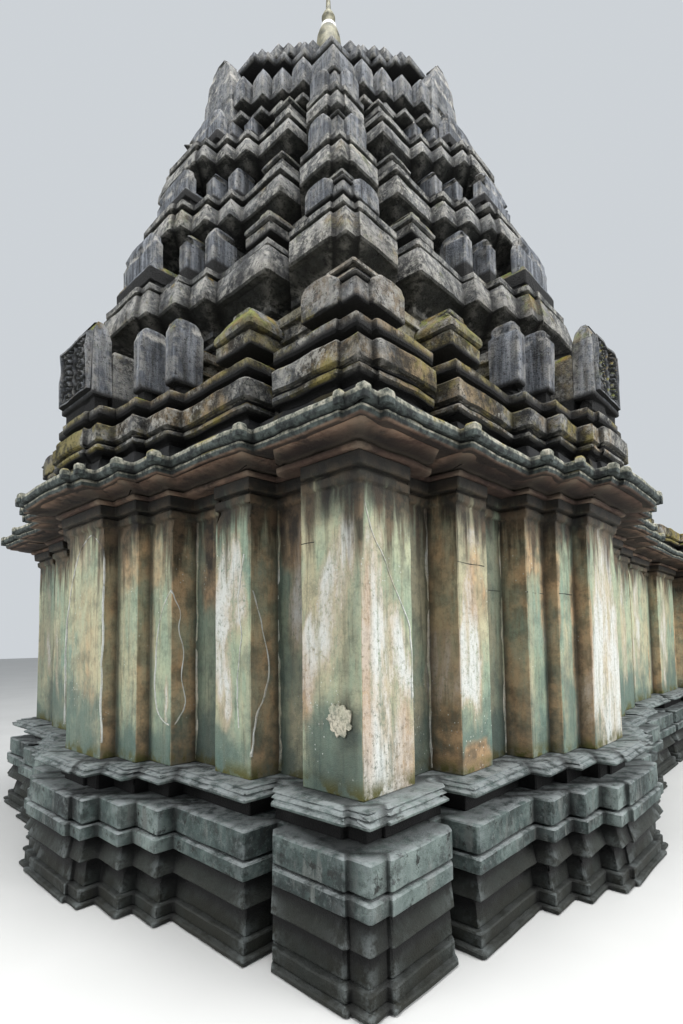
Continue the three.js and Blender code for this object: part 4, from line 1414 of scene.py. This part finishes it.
def leaf_scrolls(u, v):
    """Height of a leaf ornament, from 0 to 1: rows of curled leaves on both sides of a stem."""
    height = 0.8 * np.exp(-((u - 0.03 * np.sin(2 * math.pi * SCROLL_ROWS * v)) / 0.035) ** 2)
    for row, hand in itertools.product(range(SCROLL_ROWS), (-1, 1)):
        across = u * hand - 0.26
        up = (v - (row + 0.5) / SCROLL_ROWS) * 1.15
        distance = np.hypot(across, up)
        angle = np.arctan2(up, across)
        curl = np.exp(-((distance - 0.075 - 0.012 * angle) / 0.022) ** 2)
        boss = np.exp(-((distance / 0.034) ** 2))
        lobes = np.exp(-((distance - 0.125) / 0.022) ** 2) * (0.5 + 0.5 * np.cos(7 * angle))
        height = np.maximum.reduce([height, curl, boss, 0.8 * lobes])
    frame = np.maximum(np.abs(u) / 0.46, np.abs(v - 0.5) / 0.485)
    return np.where(frame > 0.93, 1.0, height * (frame < 0.9))


def carved_panel(plane, bottom, top, seed):
    """Front of the middle slab, carved with worn leaf scrolls."""
    columns, rows = PANEL_GRID
    u, v = np.meshgrid(np.linspace(-0.5, 0.5, columns), np.linspace(0, 1, rows))
    x, z = PANEL_WIDTH * u, bottom + (top - bottom) * v
    spots = np.column_stack([x.ravel(), np.full(x.size, -plane), z.ravel()])
    height = leaf_scrolls(u, v).ravel() * (1 + 0.35 * noise(spots, 120, seed))
    rim = ((np.abs(u) > 0.49) | (v < 0.01) | (v > 0.99)).ravel()
    front = spots.copy()
    front[:, 1] -= np.where(rim, 2, CARVING_DEPTH * height - 4 + 2 * noise(spots, 40, seed + 1))
    grid = np.arange(columns * rows).reshape(rows, columns)
    back = spots[grid[[0, 0, -1, -1], [0, -1, -1, 0]]]
    back[:, 1] += 12
    faces = np.stack([grid[:-1, :-1], grid[:-1, 1:], grid[1:, 1:], grid[1:, :-1]], axis=-1)
    faces = faces.reshape(-1, 4).tolist()
    a, b, c, d = range(columns * rows, columns * rows + 4)
    faces += [
        [a, b, *grid[0, ::-1].tolist()],
        [b, c, *grid[::-1, -1].tolist()],
        [c, d, *grid[-1, :].tolist()],
        [d, a, *grid[:, 0].tolist()],
        [d, c, b, a],
    ]
    points = np.vstack([front, back])
    # Painted shade in the carving's hollows, darkest where it is cut deepest.
    low = np.concatenate([np.clip(1 - 1.4 * height, 0, 1) * ~rim, np.zeros(len(back))])
    return Part(points, faces, {"tone": np.full(len(points), 0.6), "grime": 0.95 * np.sqrt(low)})


def add_crown(materials):
    """The crown's slab, toothed skirt and layers, the dome and the finial."""
    outline = crown_plan(CROWN_CORNER, CROWN_STEPS)
    slab = [body(outline, CROWN_SLAB, 40, 32, bevel=8, seed=700, wave=5, uneven=6)]
    skirt = [
        # The cores are painted dark as shade.
        body(square(0, 0, LOWER_CORE[0]), LOWER_CORE[1], seed=701, grime=0.9),
        body(outline, CROWN_SKIRT, 36, 36, seed=702, uneven=6, tone=0.4),
        body(outline, CROWN_NECK, 36, 36, seed=704, uneven=6, tone=0.4),
        body(square(0, 0, UPPER_CORE[0]), UPPER_CORE[1], seed=703, grime=0.85),
        *leaf_stones(outline),
    ]
    half, plane = CROWN_FACE_HALF, CROWN_CORNER + CROWN_FACE_OUT
    face = rectangle(-half, half, -plane, -plane + CROWN_FACE_DEPTH, give=(1, 0.25))
    for turn in range(4):
        block = body(face, CROWN_FACE, 36, 36, bevel=14, lead=5, seed=710 + turn, tone=0.5)
        skirt.append(turned(block, turn))
    layers = []
    for number, (bottom, top, corner, steps) in enumerate(CROWN_LAYERS):
        profile = [(bottom, -14), (bottom + 10, 2), (top - 8, 4), (top, -4)]
        layers.append(body(crown_plan(corner, steps), profile, 32, 32, bevel=8, seed=720 + number,
                           uneven=5, wave=4, tone=0.5))
    stones = {
        "crown_lower_slab": slab,
        "crown_skirt": skirt,
        "crown_top_slab": layers,
        "crown_dome": [lathe(DOME, 48)],
    }
    for node, parts in stones.items():
        make_piece(f"{node}_stones", shifted(parts, CROWN_SHIFT), materials, "tower_stone", node)
    finial = shifted([lathe(FINIAL, 32)], CROWN_SHIFT)
    make_piece("finial_metalwork", finial, materials, "finial_metal", "finial")


def leaf_stones(outline):
    """Pointed upright stones on the teeth of the crown's skirt, and plain blocks at its corners."""
    rng = random.Random(17)
    parts = []
    for number, spot, way in outer_corners(outline):
        tip = rng.uniform(*LEAF_TIPS)
        half, profile = LEAF_HALF, [*LEAF, (tip - 34, -38), (tip, -68)]
        if abs(abs(spot[0]) - abs(spot[1])) < 1:
            half, profile = CORNER_BLOCK_HALF, CORNER_BLOCK
        x, y = spot - (half - 4) * way
        parts.append(body(square(x, y, half), profile, 34, 34, lead=5, seed=740 + number, tone=0.7,
                          uneven=0))
    return parts


def lathe(outline, segments):
    """A turned body with a flat top and bottom."""
    angles = np.arange(segments) * 2 * math.pi / segments
    points = np.vstack([
        np.column_stack([r * np.cos(angles), r * np.sin(angles), np.full(segments, z)])
        for r, z in outline
    ])
    return Part(points, ring_faces(len(outline), segments), {})


def add_steps(materials):
    """Entrance steps, each tread a row of stones, and the landing at the door."""
    rise = FLOOR / STAIR_COUNT
    landing = rectangle(LANDING, STAIR_FOOT + STAIR_GOING, -STAIR_HALF, STAIR_HALF)
    parts = [body(landing, [(660, 0), (FLOOR, 0)], seed=900)]
    for k in range(STAIR_COUNT):
        end = STAIR_FOOT + STAIR_GOING * (STAIR_COUNT - k)
        area = rectangle(STAIR_FOOT, end, -STAIR_HALF, STAIR_HALF)
        parts.append(body(area, [(rise * k, 0), (rise * (k + 1), 0)], joints=TREAD_BLOCKS, seed=901 + k))
    make_piece("entrance_step_stones", parts, materials, "plinth_stone", "entrance_steps")


def add_camera():
    """The camera that took the photograph."""
    yaw, pitch, roll = (math.radians(v) for v in (YAW, PITCH, ROLL))
    ahead = Vector((math.cos(yaw) * math.cos(pitch), math.sin(yaw) * math.cos(pitch), math.sin(pitch)))
    right = Vector((math.sin(yaw), -math.cos(yaw), 0))
    up = right.cross(ahead)
    right, up = (right * math.cos(roll) + up * math.sin(roll), up * math.cos(roll) - right * math.sin(roll))
    data = bpy.data.cameras.new("photograph_view")
    data.sensor_width = SENSOR
    data.lens = LENS
    data.shift_y = SHIFT_Y
    data.clip_end = VIEW_END
    camera = bpy.data.objects.new("photograph_view", data)
    turn = Matrix((right, up, -ahead)).transposed().to_4x4()
    camera.matrix_world = Matrix.Translation(EYE) @ turn
    bpy.context.scene.collection.objects.link(camera)
    bpy.context.scene.camera = camera


def add_floor():
    """A pale ground plane, which is scenery."""
    mesh = bpy.data.meshes.new("studio_floor")
    base, _ = square(0, 0, FLOOR_REACH)
    mesh.from_pydata([(x, y, FLOOR_LEVEL) for x, y in base], [], [(0, 1, 2, 3)])
    s = Shader("floor_paper")
    s.colour = s.ramp(s.noise(0.6, 3), (0.3, (0.44, 0.44, 0.43)), (0.7, (0.48, 0.48, 0.47)))
    mesh.materials.append(s.finish(0.9, s.noise(30, 2), 0.05, 0.002))
    floor = bpy.data.objects.new("studio_floor", mesh)
    bpy.context.scene.collection.objects.link(floor)


def add_lights():
    """A pale sky and three wide panels of light."""
    world = bpy.data.worlds.new("studio")
    world.use_nodes = True
    background = world.node_tree.nodes["Background"]
    background.inputs["Color"].default_value = SKY_COLOUR
    background.inputs["Strength"].default_value = SKY_STRENGTH
    bpy.context.scene.world = world
    for name, place, size, power in LIGHTS:
        data = bpy.data.lights.new(name, "AREA")
        data.size = size
        data.energy = power
        light = bpy.data.objects.new(name, data)
        light.location = place
        aim = Vector(LIT_POINT) - Vector(place)
        light.rotation_euler = aim.to_track_quat("-Z", "Y").to_euler()
        bpy.context.scene.collection.objects.link(light)
    bpy.context.scene.view_settings.view_transform = "Standard"


def add_temple():
    """All of the building, from the ground up."""
    materials = {
        "plinth_stone": base_stone(),
        "wall_stone": wall_stone(),
        "eave_stone": eave_stone(),
        "tower_stone": tower_stone(),
        "finial_metal": aged_brass(),
    }
    outlines = {
        "plain": with_front(tower_half(1)),
        "raised": with_front(tower_half(1, raised=True)),
        "eave": with_front(tower_half(1, raised=True, recess=False)),
        "wall": with_front(wall_half()),
    }
    add_courses(outlines, materials)
    add_walls(outlines["wall"], materials)
    add_lime(materials)
    for level in range(len(STOREYS)):
        add_storey(level, materials)
    add_crown(materials)
    add_steps(materials)


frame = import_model()
add_camera()
add_floor()
add_lights()
add_temple()
